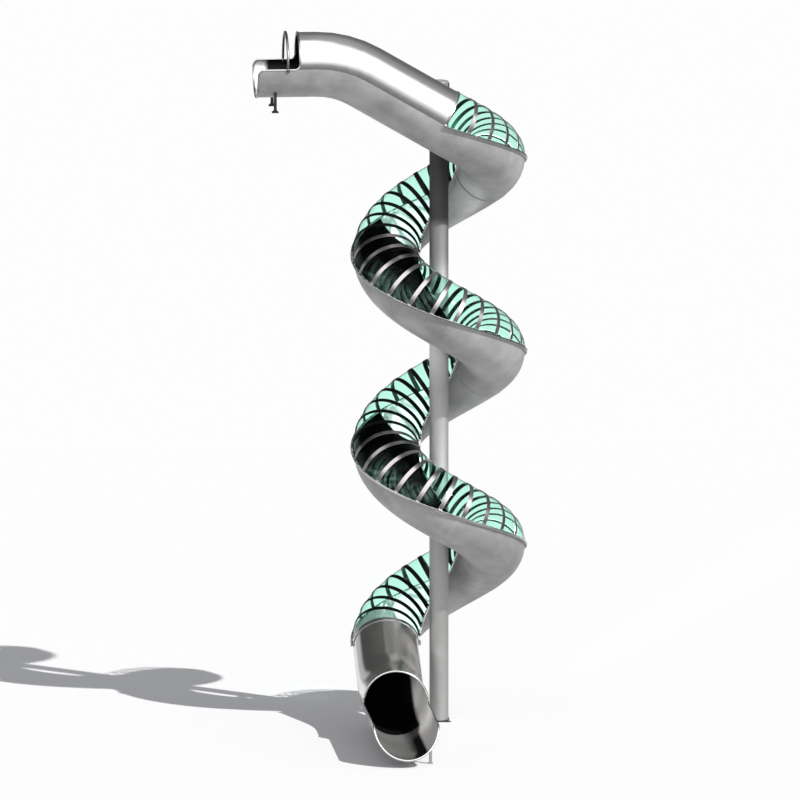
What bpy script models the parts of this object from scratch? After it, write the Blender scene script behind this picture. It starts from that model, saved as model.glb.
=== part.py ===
"""Free-standing spiral tube slide on one post.

A steel trough winds 2.75 turns round a central pipe.  Clear tinted covers, clamped by a
welded grid of hoops and side rails, close its upper half.  A steel tube leads in from the
sitting area at the top, and a steel tube with an open run-out leads out at the ground.

Metres, +Z up.  Origin: centre of the post on the ground.  The user enters along +X and
leaves along -Y, and turns counterclockwise seen from above.
"""

import math

import bmesh
import bpy
from mathutils import Vector

# ----------------------------------------------------------------------- dimensions
BORE_R = 0.400            # inner radius of the tube
SHEET = 0.003             # steel sheet
COVER = 0.004             # clear cover sheet
FLANGE_OUT = 0.433        # half width over the side flanges
FLANGE_T = 0.005          # side flange of the trough
RAIL_T = 0.005            # side rail and hoops of the cover frame
SEAM = 0.0005             # clearance where two pieces lie on each other
ARC_N = 8                 # facets in a half shell

HELIX_R = 0.662           # radius of the tube's centreline
PITCH = 2.430             # descent of one turn
SEGMENT = math.radians(990.0 / 65.0)   # turn of one panel
START = math.radians(-90.0)
N_PANELS = 65
N_MODULES = 8
PER_MODULE = 8            # the last module has the odd panel as well
TOP_Z = 7.656             # centreline height where the helix starts
HOOP_W = 0.055            # width of a hoop along the slide

ENTRY_SLOPE = 0.980       # horizontal run of the straight sloping entry tube
BEND_R = 1.200            # radius of the two vertical bends
BEND_N = 4                # mitres in a bend
ENTRY_BEND_X = -1.587     # where the entry turns horizontal
ENTRY_HOOD_X = -1.810     # front edge of the entry hood
ENTRY_END_X = -2.330      # end of the sitting trough
HOOP_X = -1.960           # grab hoop
ENTRY_FOOT_X = -2.110
ENTRY_FOOT_A = 0.255      # half spacing of the entry feet
ENTRY_FOOT_DROP = 0.558   # sole of the feet below the centreline

EXIT_SLOPE = 0.533
EXIT_HOOD_Y = -1.590      # front edge of the exit hood
EXIT_END_Y = -3.210       # end of the run-out at its rims
EXIT_LIP = 0.260          # how much further its bottom reaches
EXIT_FOOT_Y = -3.120
EXIT_FOOT_A = 0.306

BEAD_R = 0.013            # rolled rim
GRAB_R = 0.017            # grab hoop bar
LEG_W = 0.036
FOOT_W = 0.084             # foot plates under the entry
EXIT_FOOT_W = 0.060
FOOT_T = 0.008

POST_R = 0.1185
POST_T = 0.010
POST_TOP = 8.040
CAP_T = 0.008
BASE_W = 0.275
BASE_T = 0.012
BOLT_AF = 0.024           # anchor bolt head, across flats
BOLT_H = 0.016

SLOPE = math.atan2(PITCH, 2.0 * math.pi * HELIX_R)
CORNER_CUT = 0.070        # rounded top corner at the end of an open trough


# ----------------------------------------------------------------------- scene and materials
def clear_scene():
    for o in list(bpy.data.objects):
        bpy.data.objects.remove(o, do_unlink=True)


def material(name, colour, metallic, roughness, alpha=1.0):
    m = bpy.data.materials.new(name)
    m.use_nodes = True
    b = m.node_tree.nodes["Principled BSDF"]
    b.inputs["Base Color"].default_value = (*colour, 1.0)
    b.inputs["Metallic"].default_value = metallic
    b.inputs["Roughness"].default_value = roughness
    b.inputs["Alpha"].default_value = alpha
    return m


LOOKS = {
    "steel": ((0.60, 0.60, 0.60), 1.0, 0.38, 1.0),
    "post": ((0.52, 0.53, 0.53), 1.0, 0.45, 1.0),
    "bar": ((0.62, 0.63, 0.63), 1.0, 0.33, 1.0),
    "clear": ((0.55, 0.95, 0.82), 0.0, 0.08, 0.35),
    "fixing": ((0.45, 0.46, 0.46), 1.0, 0.45, 1.0),
}


def add_object(name, bm, look, smooth=True):
    bmesh.ops.recalc_face_normals(bm, faces=bm.faces)
    mesh = bpy.data.meshes.new(name)
    bm.to_mesh(mesh)
    bm.free()
    if smooth:
        mesh.shade_smooth()
        mesh.set_sharp_from_angle(angle=math.radians(30.0))
    mesh.materials.append(material(name + "_" + look, *LOOKS[look]))
    o = bpy.data.objects.new(name, mesh)
    bpy.context.scene.collection.objects.link(o)
    return o


# ----------------------------------------------------------------------- the tube's path
class Ring:
    """One cross-section: centre, horizontal outward axis and the axis across the slope."""

    def __init__(self, centre, heading, slope):
        self.c = Vector(centre)
        h = Vector((math.cos(heading), math.sin(heading), 0.0))
        self.a = Vector((h.y, -h.x, 0.0))
        self.t = h * math.cos(slope) - Vector((0.0, 0.0, math.sin(slope)))
        self.b = h * math.sin(slope) + Vector((0.0, 0.0, math.cos(slope)))

    def at(self, p, along=0.0):
        return self.c + self.a * p[0] + self.b * p[1] + self.t * along


def helix_ring(k):
    turn = START + k * SEGMENT
    centre = (HELIX_R * math.cos(turn), HELIX_R * math.sin(turn), TOP_Z - PITCH * k * SEGMENT / (2.0 * math.pi))
    return Ring(centre, turn + math.pi / 2.0, SLOPE)


SEG_RUN = HELIX_R * SEGMENT


def panel_ring(k):
    """Whole stations of the helix, continued straight along the slope beyond both its ends."""
    near = min(max(k, 0), N_PANELS)
    r = helix_ring(near)
    r.c = r.c + r.t * ((k - near) * SEG_RUN / math.cos(SLOPE))
    return r


def between(u, p):
    """A profile point at a fractional station, on the chord between whole stations."""
    k = math.floor(u + 1e-9)
    f = u - k
    if f < 1e-6:
        return panel_ring(k).at(p)
    return panel_ring(k).at(p).lerp(panel_ring(k + 1).at(p), f)


def helix_point(u):
    return lambda p: between(u, p)


def ring_point(ring, ends=0.0, lip=0.0):
    """Profile points on a ring; its two edges are pulled back by ends, its bottom goes on by lip."""
    def place(p, edge=False):
        return ring.at(p, ends if edge else lip * max(0.0, -p[1]) / (BORE_R + SHEET))
    return place


def bend_rings(start, heading, slope_in, slope_out):
    """Rings of a vertical bend, from the point start, with BEND_N mitres."""
    rings = []
    h = Vector((math.cos(heading), math.sin(heading), 0.0))
    turn = slope_out - slope_in
    sign = 1.0 if turn > 0.0 else -1.0
    for i in range(BEND_N + 1):
        s = slope_in + turn * i / BEND_N
        run = sign * BEND_R * (math.sin(s) - math.sin(slope_in))
        drop = -sign * BEND_R * (math.cos(s) - math.cos(slope_in))
        rings.append(Ring(Vector(start) + h * run - Vector((0.0, 0.0, drop)), heading, s))
    return rings


HALF = 0.5 * HOOP_W / (SEG_RUN / math.cos(SLOPE))    # half a hoop, in stations
GAP = 0.0012 / (SEG_RUN / math.cos(SLOPE))           # joint clearance, in stations

BEND_RUN = BEND_R * math.sin(SLOPE)
BEND_DROP = BEND_R * (1.0 - math.cos(SLOPE))
ENTRY_Z = TOP_Z + ENTRY_SLOPE * math.tan(SLOPE) + BEND_DROP
HELIX_END = helix_ring(N_PANELS)
EXIT_BEND_Y = HELIX_END.c.y - EXIT_SLOPE - BEND_RUN
EXIT_Z = HELIX_END.c.z - EXIT_SLOPE * math.tan(SLOPE) - BEND_DROP


def entry_rings(first_x):
    rings = [Ring((first_x, -HELIX_R, ENTRY_Z), 0.0, 0.0)]
    if first_x < ENTRY_HOOD_X - 0.01:
        rings.append(Ring((ENTRY_HOOD_X, -HELIX_R, ENTRY_Z), 0.0, 0.0))
    rings += bend_rings((-ENTRY_SLOPE - BEND_RUN, -HELIX_R, ENTRY_Z), 0.0, 0.0, SLOPE)
    return rings


def exit_rings(last_y):
    start = HELIX_END.c + Vector((0.0, -EXIT_SLOPE, -EXIT_SLOPE * math.tan(SLOPE)))
    rings = bend_rings(start, -math.pi / 2.0, SLOPE, 0.0)
    if last_y < EXIT_HOOD_Y - 0.01:
        rings.append(Ring((-HELIX_R, EXIT_HOOD_Y, EXIT_Z), -math.pi / 2.0, 0.0))
    rings.append(Ring((-HELIX_R, last_y, EXIT_Z), -math.pi / 2.0, 0.0))
    return rings


# ----------------------------------------------------------------------- profiles
def arc(radius, upper, first_b):
    """Half circle from the outer side to the inner side; its ends stand at height first_b."""
    pts = []
    for i in range(ARC_N + 1):
        v = math.pi * i / ARC_N
        pts.append((radius * math.cos(v), (1.0 if upper else -1.0) * radius * math.sin(v)))
    pts[0] = (radius, first_b)
    pts[-1] = (-radius, first_b)
    return pts


def trough_profile(out_r=None):
    """Under and upper skin of the trough with its two side flanges."""
    under = [(FLANGE_OUT, -FLANGE_T)] + arc(BORE_R + SHEET, False, -FLANGE_T) + [(-FLANGE_OUT, -FLANGE_T)]
    upper = [(FLANGE_OUT, 0.0)] + arc(BORE_R, False, 0.0) + [(-FLANGE_OUT, 0.0)]
    return under, upper


def plain_trough_profile():
    """Trough of the steel tubes, which has no flanges."""
    return arc(BORE_R + SHEET, False, 0.0), arc(BORE_R, False, 0.0)


def hood_profile():
    return arc(BORE_R + SHEET, True, SEAM), arc(BORE_R, True, SEAM)


COVER_IN = BORE_R
COVER_OUT = BORE_R + COVER
FRAME_IN = COVER_OUT + 0.0035      # clears the ridge where two panels meet
FRAME_OUT = FRAME_IN + RAIL_T


def cover_profile():
    return arc(COVER_OUT, True, SEAM), arc(COVER_IN, True, SEAM)


def frame_profile():
    top = [(FLANGE_OUT, SEAM + RAIL_T)] + arc(FRAME_OUT, True, SEAM + RAIL_T) + [(-FLANGE_OUT, SEAM + RAIL_T)]
    low = [(FLANGE_OUT, SEAM)] + arc(FRAME_IN, True, SEAM) + [(-FLANGE_OUT, SEAM)]
    return top, low


# ----------------------------------------------------------------------- builders
def grid_solid(bm, outer, inner, solid, lean):
    """Closed sheet between two point grids [u][v]; solid(u, v) says which cells exist.

    The cells are twisted, so each is split along the diagonal that bulges outwards where
    lean is positive and inwards where it is negative.  Sheets that lie on each other lean
    apart and stay clear of each other.
    """
    nu, nv = len(outer), len(outer[0])
    vo, vi = {}, {}

    def vert(store, grid, u, v):
        if (u, v) not in store:
            store[(u, v)] = bm.verts.new(grid[u][v])
        return store[(u, v)]

    def cell(u, v):
        return 0 <= u < nu - 1 and 0 <= v < nv - 1 and solid(u, v)

    def skin(store, grid, corners, away, flip):
        a, b, c, d = (vert(store, grid, *k) for k in corners)
        bulge = (a.co + c.co - b.co - d.co).dot(away) * lean
        halves = ((a, b, c), (a, c, d)) if bulge > 0.0 else ((a, b, d), (b, c, d))
        for half in halves:
            bm.faces.new(half[::-1] if flip else half)

    for u in range(nu - 1):
        for v in range(nv - 1):
            if not cell(u, v):
                continue
            corners = [(u, v), (u + 1, v), (u + 1, v + 1), (u, v + 1)]
            away = sum((outer[c[0]][c[1]] - inner[c[0]][c[1]] for c in corners), Vector())
            skin(vo, outer, corners, away, False)
            skin(vi, inner, corners, away, True)
            for i, (du, dv) in enumerate(((0, -1), (1, 0), (0, 1), (-1, 0))):
                if not cell(u + du, v + dv):
                    p, q = corners[i], corners[(i + 1) % 4]
                    bm.faces.new([vert(vo, outer, *q), vert(vo, outer, *p), vert(vi, inner, *p), vert(vi, inner, *q)])


def shell(name, places, profile, look, edge_back=None, lean=-1.0):
    """Sheet lofted through places, each a function from a profile point to a position."""
    outer_p, inner_p = profile
    last = len(outer_p) - 1
    outer, inner = [], []
    for j, place in enumerate(places):
        row_o, row_i = [], []
        for i in range(last + 1):
            if edge_back and j in edge_back and i in (0, last):
                row_o.append(place(outer_p[i], True))
                row_i.append(place(inner_p[i], True))
            else:
                row_o.append(place(outer_p[i]))
                row_i.append(place(inner_p[i]))
        outer.append(row_o)
        inner.append(row_i)
    bm = bmesh.new()
    grid_solid(bm, outer, inner, lambda u, v: True, lean)
    return add_object(name, bm, look)


def tube(name, points, radius, sides, look, closed=False, up=None):
    """Bar of round section through points, with flat ends unless it is a closed loop."""
    n = len(points)
    bm = bmesh.new()
    loops = []
    prev = None
    for i, p in enumerate(points):
        if closed:
            t = (points[(i + 1) % n] - points[i - 1]).normalized()
        elif i == 0:
            t = (points[1] - p).normalized()
        elif i == n - 1:
            t = (p - points[-2]).normalized()
        else:
            t = ((p - points[i - 1]).normalized() + (points[i + 1] - p).normalized()).normalized()
        if prev is None:
            ref = up if up is not None else Vector((0.0, 0.0, 1.0))
            x = (ref - t * ref.dot(t)).normalized()
        else:
            x = (prev - t * prev.dot(t)).normalized()
        prev = x
        y = t.cross(x)
        loops.append([bm.verts.new(p + x * (radius * math.cos(a)) + y * (radius * math.sin(a)))
                      for a in (2.0 * math.pi * s / sides for s in range(sides))])
    pairs = list(zip(loops[:-1], loops[1:]))
    if closed:
        # the section may come back turned, so the last loop is joined at the nearest corner
        first, end = loops[0], loops[-1]
        best = min(range(sides), key=lambda k: sum((end[i].co - first[(i + k) % sides].co).length for i in range(sides)))
        pairs.append((end, first[best:] + first[:best]))
    for p, q in pairs:
        for s in range(sides):
            bm.faces.new((p[s], p[(s + 1) % sides], q[(s + 1) % sides], q[s]))
    if not closed:
        bm.faces.new(loops[0])
        bm.faces.new(loops[-1])
    return add_object(name, bm, look)


def prism(bm, base, top):
    """Solid between two loops of the same length."""
    lo = [bm.verts.new(p) for p in base]
    hi = [bm.verts.new(p) for p in top]
    n = len(lo)
    for i in range(n):
        bm.faces.new((lo[i], lo[(i + 1) % n], hi[(i + 1) % n], hi[i]))
    bm.faces.new(lo)
    bm.faces.new(hi)


def square(cx, cy, w, d, z):
    return [Vector((cx + sx * w / 2.0, cy + sy * d / 2.0, z)) for sx, sy in ((-1, -1), (1, -1), (1, 1), (-1, 1))]


# ----------------------------------------------------------------------- the helix
def helix_modules():
    for m in range(N_MODULES):
        first, last = m * PER_MODULE, (m + 1) * PER_MODULE
        if m == N_MODULES - 1:
            last = N_PANELS
        start = first - HALF
        end = last - HALF - GAP if last < N_PANELS else last + HALF
        whole = [start] + list(range(first, last)) + ([end] if last < N_PANELS else [last, end])
        places = [helix_point(u) for u in whole]
        shell("trough_%d" % (m + 1), places, trough_profile(), "steel", lean=1.0)
        shell("cover_%d" % (m + 1), places, cover_profile(), "clear")

        # the cover frame: a band of cells at each rib, and the two side rails throughout
        cuts, ribs = [start, first, first + HALF], [0, 1]
        for k in range(first + 1, last if last < N_PANELS else last + 1):
            ribs += [len(cuts), len(cuts) + 1]
            cuts += [k - HALF, k, k + HALF]
        if last < N_PANELS:
            cuts.append(end)
        top, low = frame_profile()
        outer = [[between(u, p) for p in top] for u in cuts]
        inner = [[between(u, p) for p in low] for u in cuts]
        rails = (0, len(top) - 2)
        bm = bmesh.new()
        grid_solid(bm, outer, inner, lambda u, v: v in rails or u in ribs, 1.0)
        add_object("cover_frame_%d" % (m + 1), bm, "bar")


# ----------------------------------------------------------------------- entry and exit
def entry():
    end = helix_point(-HALF - GAP)
    rings = entry_rings(ENTRY_END_X)
    places = [ring_point(rings[0], CORNER_CUT)] + [ring_point(r) for r in rings[1:]] + [end]
    shell("entry_trough", places, plain_trough_profile(), "steel", edge_back=(0,))
    hood = [ring_point(r) for r in entry_rings(ENTRY_HOOD_X)] + [end]
    shell("entry_hood", hood, hood_profile(), "steel")

    bead = BORE_R + SHEET + BEAD_R + 0.0012
    tube("entry_rim_bead", rim_loop(
        lambda x, a, b: Vector((x, -HELIX_R - a, ENTRY_Z + b)),
        ENTRY_HOOD_X + BEAD_R, ENTRY_END_X + BEAD_R, bead), BEAD_R, 6, "bar", closed=True)

    grab = []
    for i in range(-1, 13):
        if i == -1:
            grab.append(Vector((HOOP_X, -HELIX_R - 0.408, ENTRY_Z + 0.0008)))
        elif i == 12:
            grab.append(Vector((HOOP_X, -HELIX_R + 0.408, ENTRY_Z + 0.0008)))
        else:
            v = math.radians(8.0) + math.radians(164.0) * i / 11.0
            grab.append(Vector((HOOP_X, -HELIX_R - 0.408 * math.cos(v), ENTRY_Z + 0.408 * math.sin(v))))
    tube("grab_hoop", grab, GRAB_R, 8, "bar", up=Vector((1.0, 0.0, 0.0)))

    for name, side in (("entry_foot_right", 1.0), ("entry_foot_left", -1.0)):
        foot(name, ENTRY_FOOT_X, -HELIX_R - side * ENTRY_FOOT_A, ENTRY_Z - ENTRY_FOOT_DROP, -HELIX_R, ENTRY_Z, True, FOOT_W)


def rim_loop(place, hood, end, radius, lip=0.0):
    """Closed line of the rolled rim: over the hood's edge, along both sides, under the end."""
    d = math.copysign(1.0, end - hood)
    low = -BEAD_R
    loop = []
    for i in range(1, ARC_N):
        v = math.pi * i / ARC_N
        loop.append(place(hood, radius * math.cos(v), radius * math.sin(v)))
    loop += [place(hood + d * 0.004, -radius, 0.075), place(hood + d * 0.030, -radius, 0.022),
             place(hood + d * 0.080, -radius, low), place(end - d * CORNER_CUT * 1.2, -radius, low)]
    for i in range(ARC_N - 1, 0, -1):
        v = math.pi * i / ARC_N
        loop.append(place(end + d * lip * math.sin(v), radius * math.cos(v), -radius * math.sin(v)))
    loop += [place(end - d * CORNER_CUT * 1.2, radius, low), place(hood + d * 0.080, radius, low),
             place(hood + d * 0.030, radius, 0.022), place(hood + d * 0.004, radius, 0.075)]
    return loop


def foot(name, cx, cy, sole, axis_at, axis_z, along_x, width):
    """Foot plate with a square leg up to the round underside of the trough."""
    bm = bmesh.new()
    plate = square(cx, cy, width, width, sole)
    prism(bm, plate, [p + Vector((0.0, 0.0, FOOT_T)) for p in plate])
    bmesh.ops.recalc_face_normals(bm, faces=bm.faces)
    bm.normal_update()
    top = max(bm.faces, key=lambda f: f.calc_center_median().z)
    bmesh.ops.inset_region(bm, faces=[top], thickness=(width - LEG_W) / 2.0)
    leg = bmesh.ops.extrude_face_region(bm, geom=[top])
    new = [g for g in leg["geom"] if isinstance(g, bmesh.types.BMVert)]
    bmesh.ops.delete(bm, geom=[top], context="FACES_ONLY")
    r = BORE_R + SHEET + 0.0030
    for v in new:
        a = (v.co.y if along_x else v.co.x) - axis_at
        v.co.z = axis_z - math.sqrt(r * r - a * a)
    return add_object(name, bm, "fixing", smooth=False)


def exit_section():
    start = helix_point(N_PANELS + HALF + GAP)
    rings = exit_rings(EXIT_END_Y)
    pts = [start] + [ring_point(r) for r in rings[:-1]] + [ring_point(rings[-1], -CORNER_CUT, EXIT_LIP)]
    shell("exit_trough", pts, plain_trough_profile(), "steel", edge_back=(len(pts) - 1,))
    hood = [start] + [ring_point(r) for r in exit_rings(EXIT_HOOD_Y)]
    shell("exit_hood", hood, hood_profile(), "steel")

    bead = BORE_R + SHEET + BEAD_R + 0.0012
    tube("exit_rim_bead", rim_loop(
        lambda y, a, b: Vector((-HELIX_R - a, y, EXIT_Z + b)),
        EXIT_HOOD_Y + BEAD_R, EXIT_END_Y + BEAD_R, bead, EXIT_LIP), BEAD_R, 6, "bar", closed=True)
    foot("exit_foot", -HELIX_R + EXIT_FOOT_A, EXIT_FOOT_Y, 0.0, -HELIX_R, EXIT_Z, False, EXIT_FOOT_W)


# ----------------------------------------------------------------------- post and fixings
def post():
    n = 24
    bm = bmesh.new()
    loops = []
    for r, z in ((POST_R, BASE_T + SEAM), (POST_R, POST_TOP), (POST_R - POST_T, POST_TOP), (POST_R - POST_T, BASE_T + SEAM)):
        loops.append([bm.verts.new((r * math.cos(2.0 * math.pi * i / n), r * math.sin(2.0 * math.pi * i / n), z)) for i in range(n)])
    for j in range(4):
        p, q = loops[j], loops[(j + 1) % 4]
        for i in range(n):
            bm.faces.new((p[i], p[(i + 1) % n], q[(i + 1) % n], q[i]))
    add_object("centre_post", bm, "post")

    bm = bmesh.new()
    cap = [Vector((POST_R * 0.99 * math.cos(2.0 * math.pi * i / n), POST_R * 0.99 * math.sin(2.0 * math.pi * i / n), POST_TOP + SEAM)) for i in range(n)]
    prism(bm, cap, [p + Vector((0.0, 0.0, CAP_T)) for p in cap])
    add_object("post_cap", bm, "post")

    bm = bmesh.new()
    plate = square(0.0, 0.0, BASE_W, BASE_W, 0.0)
    prism(bm, plate, [p + Vector((0.0, 0.0, BASE_T)) for p in plate])
    add_object("post_base_plate", bm, "post", smooth=False)

    c = BASE_W / 2.0 - 0.019
    for i, (sx, sy) in enumerate(((1, 1), (-1, 1), (-1, -1), (1, -1))):
        bm = bmesh.new()
        hexagon = [Vector((sx * c + BOLT_AF / math.sqrt(3.0) * math.cos(math.pi * k / 3.0 + math.pi / 4.0),
                           sy * c + BOLT_AF / math.sqrt(3.0) * math.sin(math.pi * k / 3.0 + math.pi / 4.0),
                           BASE_T + SEAM)) for k in range(6)]
        prism(bm, hexagon, [p + Vector((0.0, 0.0, BOLT_H)) for p in hexagon])
        add_object("anchor_bolt_%d" % (i + 1), bm, "fixing", smooth=False)


BRACKET_STATIONS = (0, 12, 24, 35, 46, 59)
BRACKET_W = 0.060
BRACKET_H = 0.090
BRACKET_CLEAR = 0.0075     # the round trough bulges towards the flat end of the bracket


def brackets():
    """Short box brackets from the post to the trough's inner side, under its flange."""
    for i, k in enumerate(BRACKET_STATIONS):
        r = helix_ring(k)
        out = Vector((r.c.x, r.c.y, 0.0)).normalized()
        side = Vector((-out.y, out.x, 0.0))
        z = r.c.z - 0.066
        # the post side stands clear of the pipe's facets, the trough side clear of the shell
        near = POST_R + 0.0004
        bm = bmesh.new()
        lo, hi = [], []
        for s in (-1.0, 1.0):
            w = s * BRACKET_W / 2.0
            for far in (False, True):
                if far:
                    # the trough falls along side, so its underside is sought per corner
                    for z_off, store in ((-BRACKET_H, lo), (0.0, hi)):
                        d = clear_distance(out, side * w, z + z_off)
                        store.append(out * d + side * w + Vector((0.0, 0.0, z + z_off)))
                else:
                    for z_off, store in ((-BRACKET_H, lo), (0.0, hi)):
                        store.append(out * near + side * w + Vector((0.0, 0.0, z + z_off)))
        order = (0, 1, 3, 2)
        prism(bm, [lo[j] for j in order], [hi[j] for j in order])
        add_object("bracket_%d" % (i + 1), bm, "fixing", smooth=False)


def clear_distance(out, offset, z):
    """Radius from the post's axis at which a horizontal line meets the tube, less a seam."""
    best = HELIX_R
    d = POST_R
    while d < best:
        p = out * d + offset + Vector((0.0, 0.0, z))
        turn = math.atan2(p.y, p.x)
        # nearest turn of the helix to this height
        k0 = ((turn - START) % (2.0 * math.pi)) / SEGMENT
        reach = min(tube_distance(p, k0 + n * 2.0 * math.pi / SEGMENT) for n in (-1, 0, 1, 2))
        if reach < BORE_R + SHEET + BRACKET_CLEAR:
            return d
        d += 0.0005
    return best


def tube_distance(p, k):
    """Distance from a point to the tube's centreline near station k."""
    best = 9.0
    for i in range(-20, 21):
        q = helix_ring(k + i * 0.08).c
        best = min(best, (p - q).length)
    return best


def joint_straps():
    """Bent straps under the trough, across the joints of two modules."""
    lo_r = BORE_R + SHEET + 0.0045
    for m in range(1, N_MODULES):
        k = m * PER_MODULE
        cuts = [k - 2.0 * HALF, k]
        pts_i = arc(lo_r, False, -FLANGE_T - 0.012)
        pts_o = arc(lo_r + 0.004, False, -FLANGE_T - 0.012)
        places = [helix_point(u) for u in cuts]
        shell("joint_strap_%d" % m, places, (pts_o, pts_i), "fixing", lean=1.0)


def main():
    clear_scene()
    post()
    helix_modules()
    joint_straps()
    brackets()
    entry()
    exit_section()


main()
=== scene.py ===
"""Looks of the spiral tube slide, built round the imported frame.

Every visible sheet, panel, hoop, rail, bolt, weld and rim is its own fine mesh on the
frame's dimensions.  Metres, +Z up, the frame's axes.
"""

import math

import bpy
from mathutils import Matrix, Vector


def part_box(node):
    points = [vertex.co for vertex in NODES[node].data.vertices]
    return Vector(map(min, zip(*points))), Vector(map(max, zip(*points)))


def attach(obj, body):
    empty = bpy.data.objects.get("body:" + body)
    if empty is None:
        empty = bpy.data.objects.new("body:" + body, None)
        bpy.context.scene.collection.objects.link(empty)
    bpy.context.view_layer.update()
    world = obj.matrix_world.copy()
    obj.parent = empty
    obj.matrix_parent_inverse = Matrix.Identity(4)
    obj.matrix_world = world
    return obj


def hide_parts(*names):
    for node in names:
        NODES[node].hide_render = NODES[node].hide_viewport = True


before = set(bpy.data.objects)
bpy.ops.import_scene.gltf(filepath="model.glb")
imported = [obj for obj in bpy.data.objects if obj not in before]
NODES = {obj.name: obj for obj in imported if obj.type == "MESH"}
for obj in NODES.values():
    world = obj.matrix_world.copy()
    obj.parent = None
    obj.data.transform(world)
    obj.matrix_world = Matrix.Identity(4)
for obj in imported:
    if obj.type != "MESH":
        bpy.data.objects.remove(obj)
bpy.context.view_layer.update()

# ------------------------------------------------------------------ dimensions of the frame
BORE_R = 0.400
SHEET = 0.003
FLANGE_OUT = 0.433
HELIX_R = 0.662
PITCH = 2.430
SEGMENT = math.radians(990.0 / 65.0)
START = math.radians(-90.0)
N_PANELS = 65
N_MODULES = 8
PER_MODULE = 8
TOP_Z = 7.656
HOOP_W = 0.055
ENTRY_SLOPE = 0.980
BEND_R = 1.200
BEND_N = 4
ENTRY_HOOD_X = -1.810
ENTRY_END_X = -2.330
HOOP_X = -1.960
EXIT_SLOPE = 0.533
EXIT_HOOD_Y = -1.590
EXIT_END_Y = -3.210
EXIT_LIP = 0.260          # the bottom of the run-out reaches this much further than its rims
CORNER_R = 0.082          # rounded top corner at the end of an open trough
FILLET_R = 0.070          # fillet where a hood's edge meets the trough's rim
BEAD_R = 0.0130
GRAB_R = 0.016
POST_R = 0.1185
SLOPE = math.atan2(PITCH, 2.0 * math.pi * HELIX_R)
SEG_RUN = HELIX_R * SEGMENT
SEG_LEN = SEG_RUN / math.cos(SLOPE)
BEND_RUN = BEND_R * math.sin(SLOPE)
BEND_DROP = BEND_R * (1.0 - math.cos(SLOPE))
ENTRY_Z = TOP_Z + ENTRY_SLOPE * math.tan(SLOPE) + BEND_DROP


class Ring:
    """Cross-section of the tube: centre, horizontal outward axis a, axis b across the slope, tangent t."""

    def __init__(self, centre, heading, slope):
        self.c = Vector(centre)
        h = Vector((math.cos(heading), math.sin(heading), 0.0))
        self.a = Vector((h.y, -h.x, 0.0))
        self.t = h * math.cos(slope) - Vector((0.0, 0.0, math.sin(slope)))
        self.b = h * math.sin(slope) + Vector((0.0, 0.0, math.cos(slope)))

    def at(self, p, along=0.0):
        return self.c + self.a * p[0] + self.b * p[1] + self.t * along


def helix_ring(k):
    turn = START + k * SEGMENT
    return Ring((HELIX_R * math.cos(turn), HELIX_R * math.sin(turn), TOP_Z - PITCH * k * SEGMENT / (2.0 * math.pi)),
                turn + math.pi / 2.0, SLOPE)


def path_ring(u):
    """Ring at station u of the helix; beyond its ends the path runs straight along the slope."""
    near = min(max(u, 0.0), float(N_PANELS))
    r = helix_ring(near)
    r.c = r.c + r.t * ((u - near) * SEG_LEN)
    return r


HELIX_END = helix_ring(N_PANELS)
EXIT_Z = HELIX_END.c.z - EXIT_SLOPE * math.tan(SLOPE) - BEND_DROP


def bend_rings(start, heading, slope_in, slope_out):
    rings = []
    h = Vector((math.cos(heading), math.sin(heading), 0.0))
    turn = slope_out - slope_in
    sign = 1.0 if turn > 0.0 else -1.0
    for i in range(BEND_N + 1):
        s = slope_in + turn * i / BEND_N
        run = sign * BEND_R * (math.sin(s) - math.sin(slope_in))
        drop = -sign * BEND_R * (math.cos(s) - math.cos(slope_in))
        rings.append(Ring(Vector(start) + h * run - Vector((0.0, 0.0, drop)), heading, s))
    return rings


ENTRY_BEND = bend_rings((-ENTRY_SLOPE - BEND_RUN, -HELIX_R, ENTRY_Z), 0.0, 0.0, SLOPE)
EXIT_BEND = bend_rings(HELIX_END.c + Vector((0.0, -EXIT_SLOPE, -EXIT_SLOPE * math.tan(SLOPE))), -math.pi / 2.0, SLOPE, 0.0)


# ------------------------------------------------------------------ materials
def new_material(name):
    m = bpy.data.materials.new(name)
    m.use_nodes = True
    t = m.node_tree
    return m, t, t.nodes["Principled BSDF"]


def node(t, kind, **values):
    n = t.nodes.new(kind)
    for k, v in values.items():
        if k.startswith("_"):
            n.inputs[k[1:]].default_value = v
        else:
            setattr(n, k, v)
    return n


def ramp(t, fac, stops):
    n = t.nodes.new("ShaderNodeValToRGB")
    e = n.color_ramp.elements
    while len(e) < len(stops):
        e.new(0.5)
    for el, (p, c) in zip(e, stops):
        el.position = p
        el.color = (*c, 1.0) if len(c) == 3 else c
    t.links.new(fac, n.inputs["Fac"])
    return n.outputs["Color"]


def span(t, value, lo, hi):
    """Rises smoothly from 0 at lo to 1 at hi (falls if hi is the smaller)."""
    n = node(t, "ShaderNodeMapRange", interpolation_type="SMOOTHSTEP")
    n.inputs["From Min"].default_value = min(lo, hi)
    n.inputs["From Max"].default_value = max(lo, hi)
    n.inputs["To Min"].default_value = 0.0 if lo < hi else 1.0
    n.inputs["To Max"].default_value = 1.0 if lo < hi else 0.0
    t.links.new(value, n.inputs["Value"])
    return n.outputs["Result"]


def maths(t, op, a, b):
    n = node(t, "ShaderNodeMath", operation=op)
    for i, v in enumerate((a, b)):
        if isinstance(v, (int, float)):
            n.inputs[i].default_value = v
        else:
            t.links.new(v, n.inputs[i])
    return n.outputs[0]


def place(t):
    """Object coordinates of a point as three sockets."""
    co = node(t, "ShaderNodeTexCoord")
    sep = node(t, "ShaderNodeSeparateXYZ")
    t.links.new(co.outputs["Object"], sep.inputs[0])
    return sep.outputs["X"], sep.outputs["Y"], sep.outputs["Z"]


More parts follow.
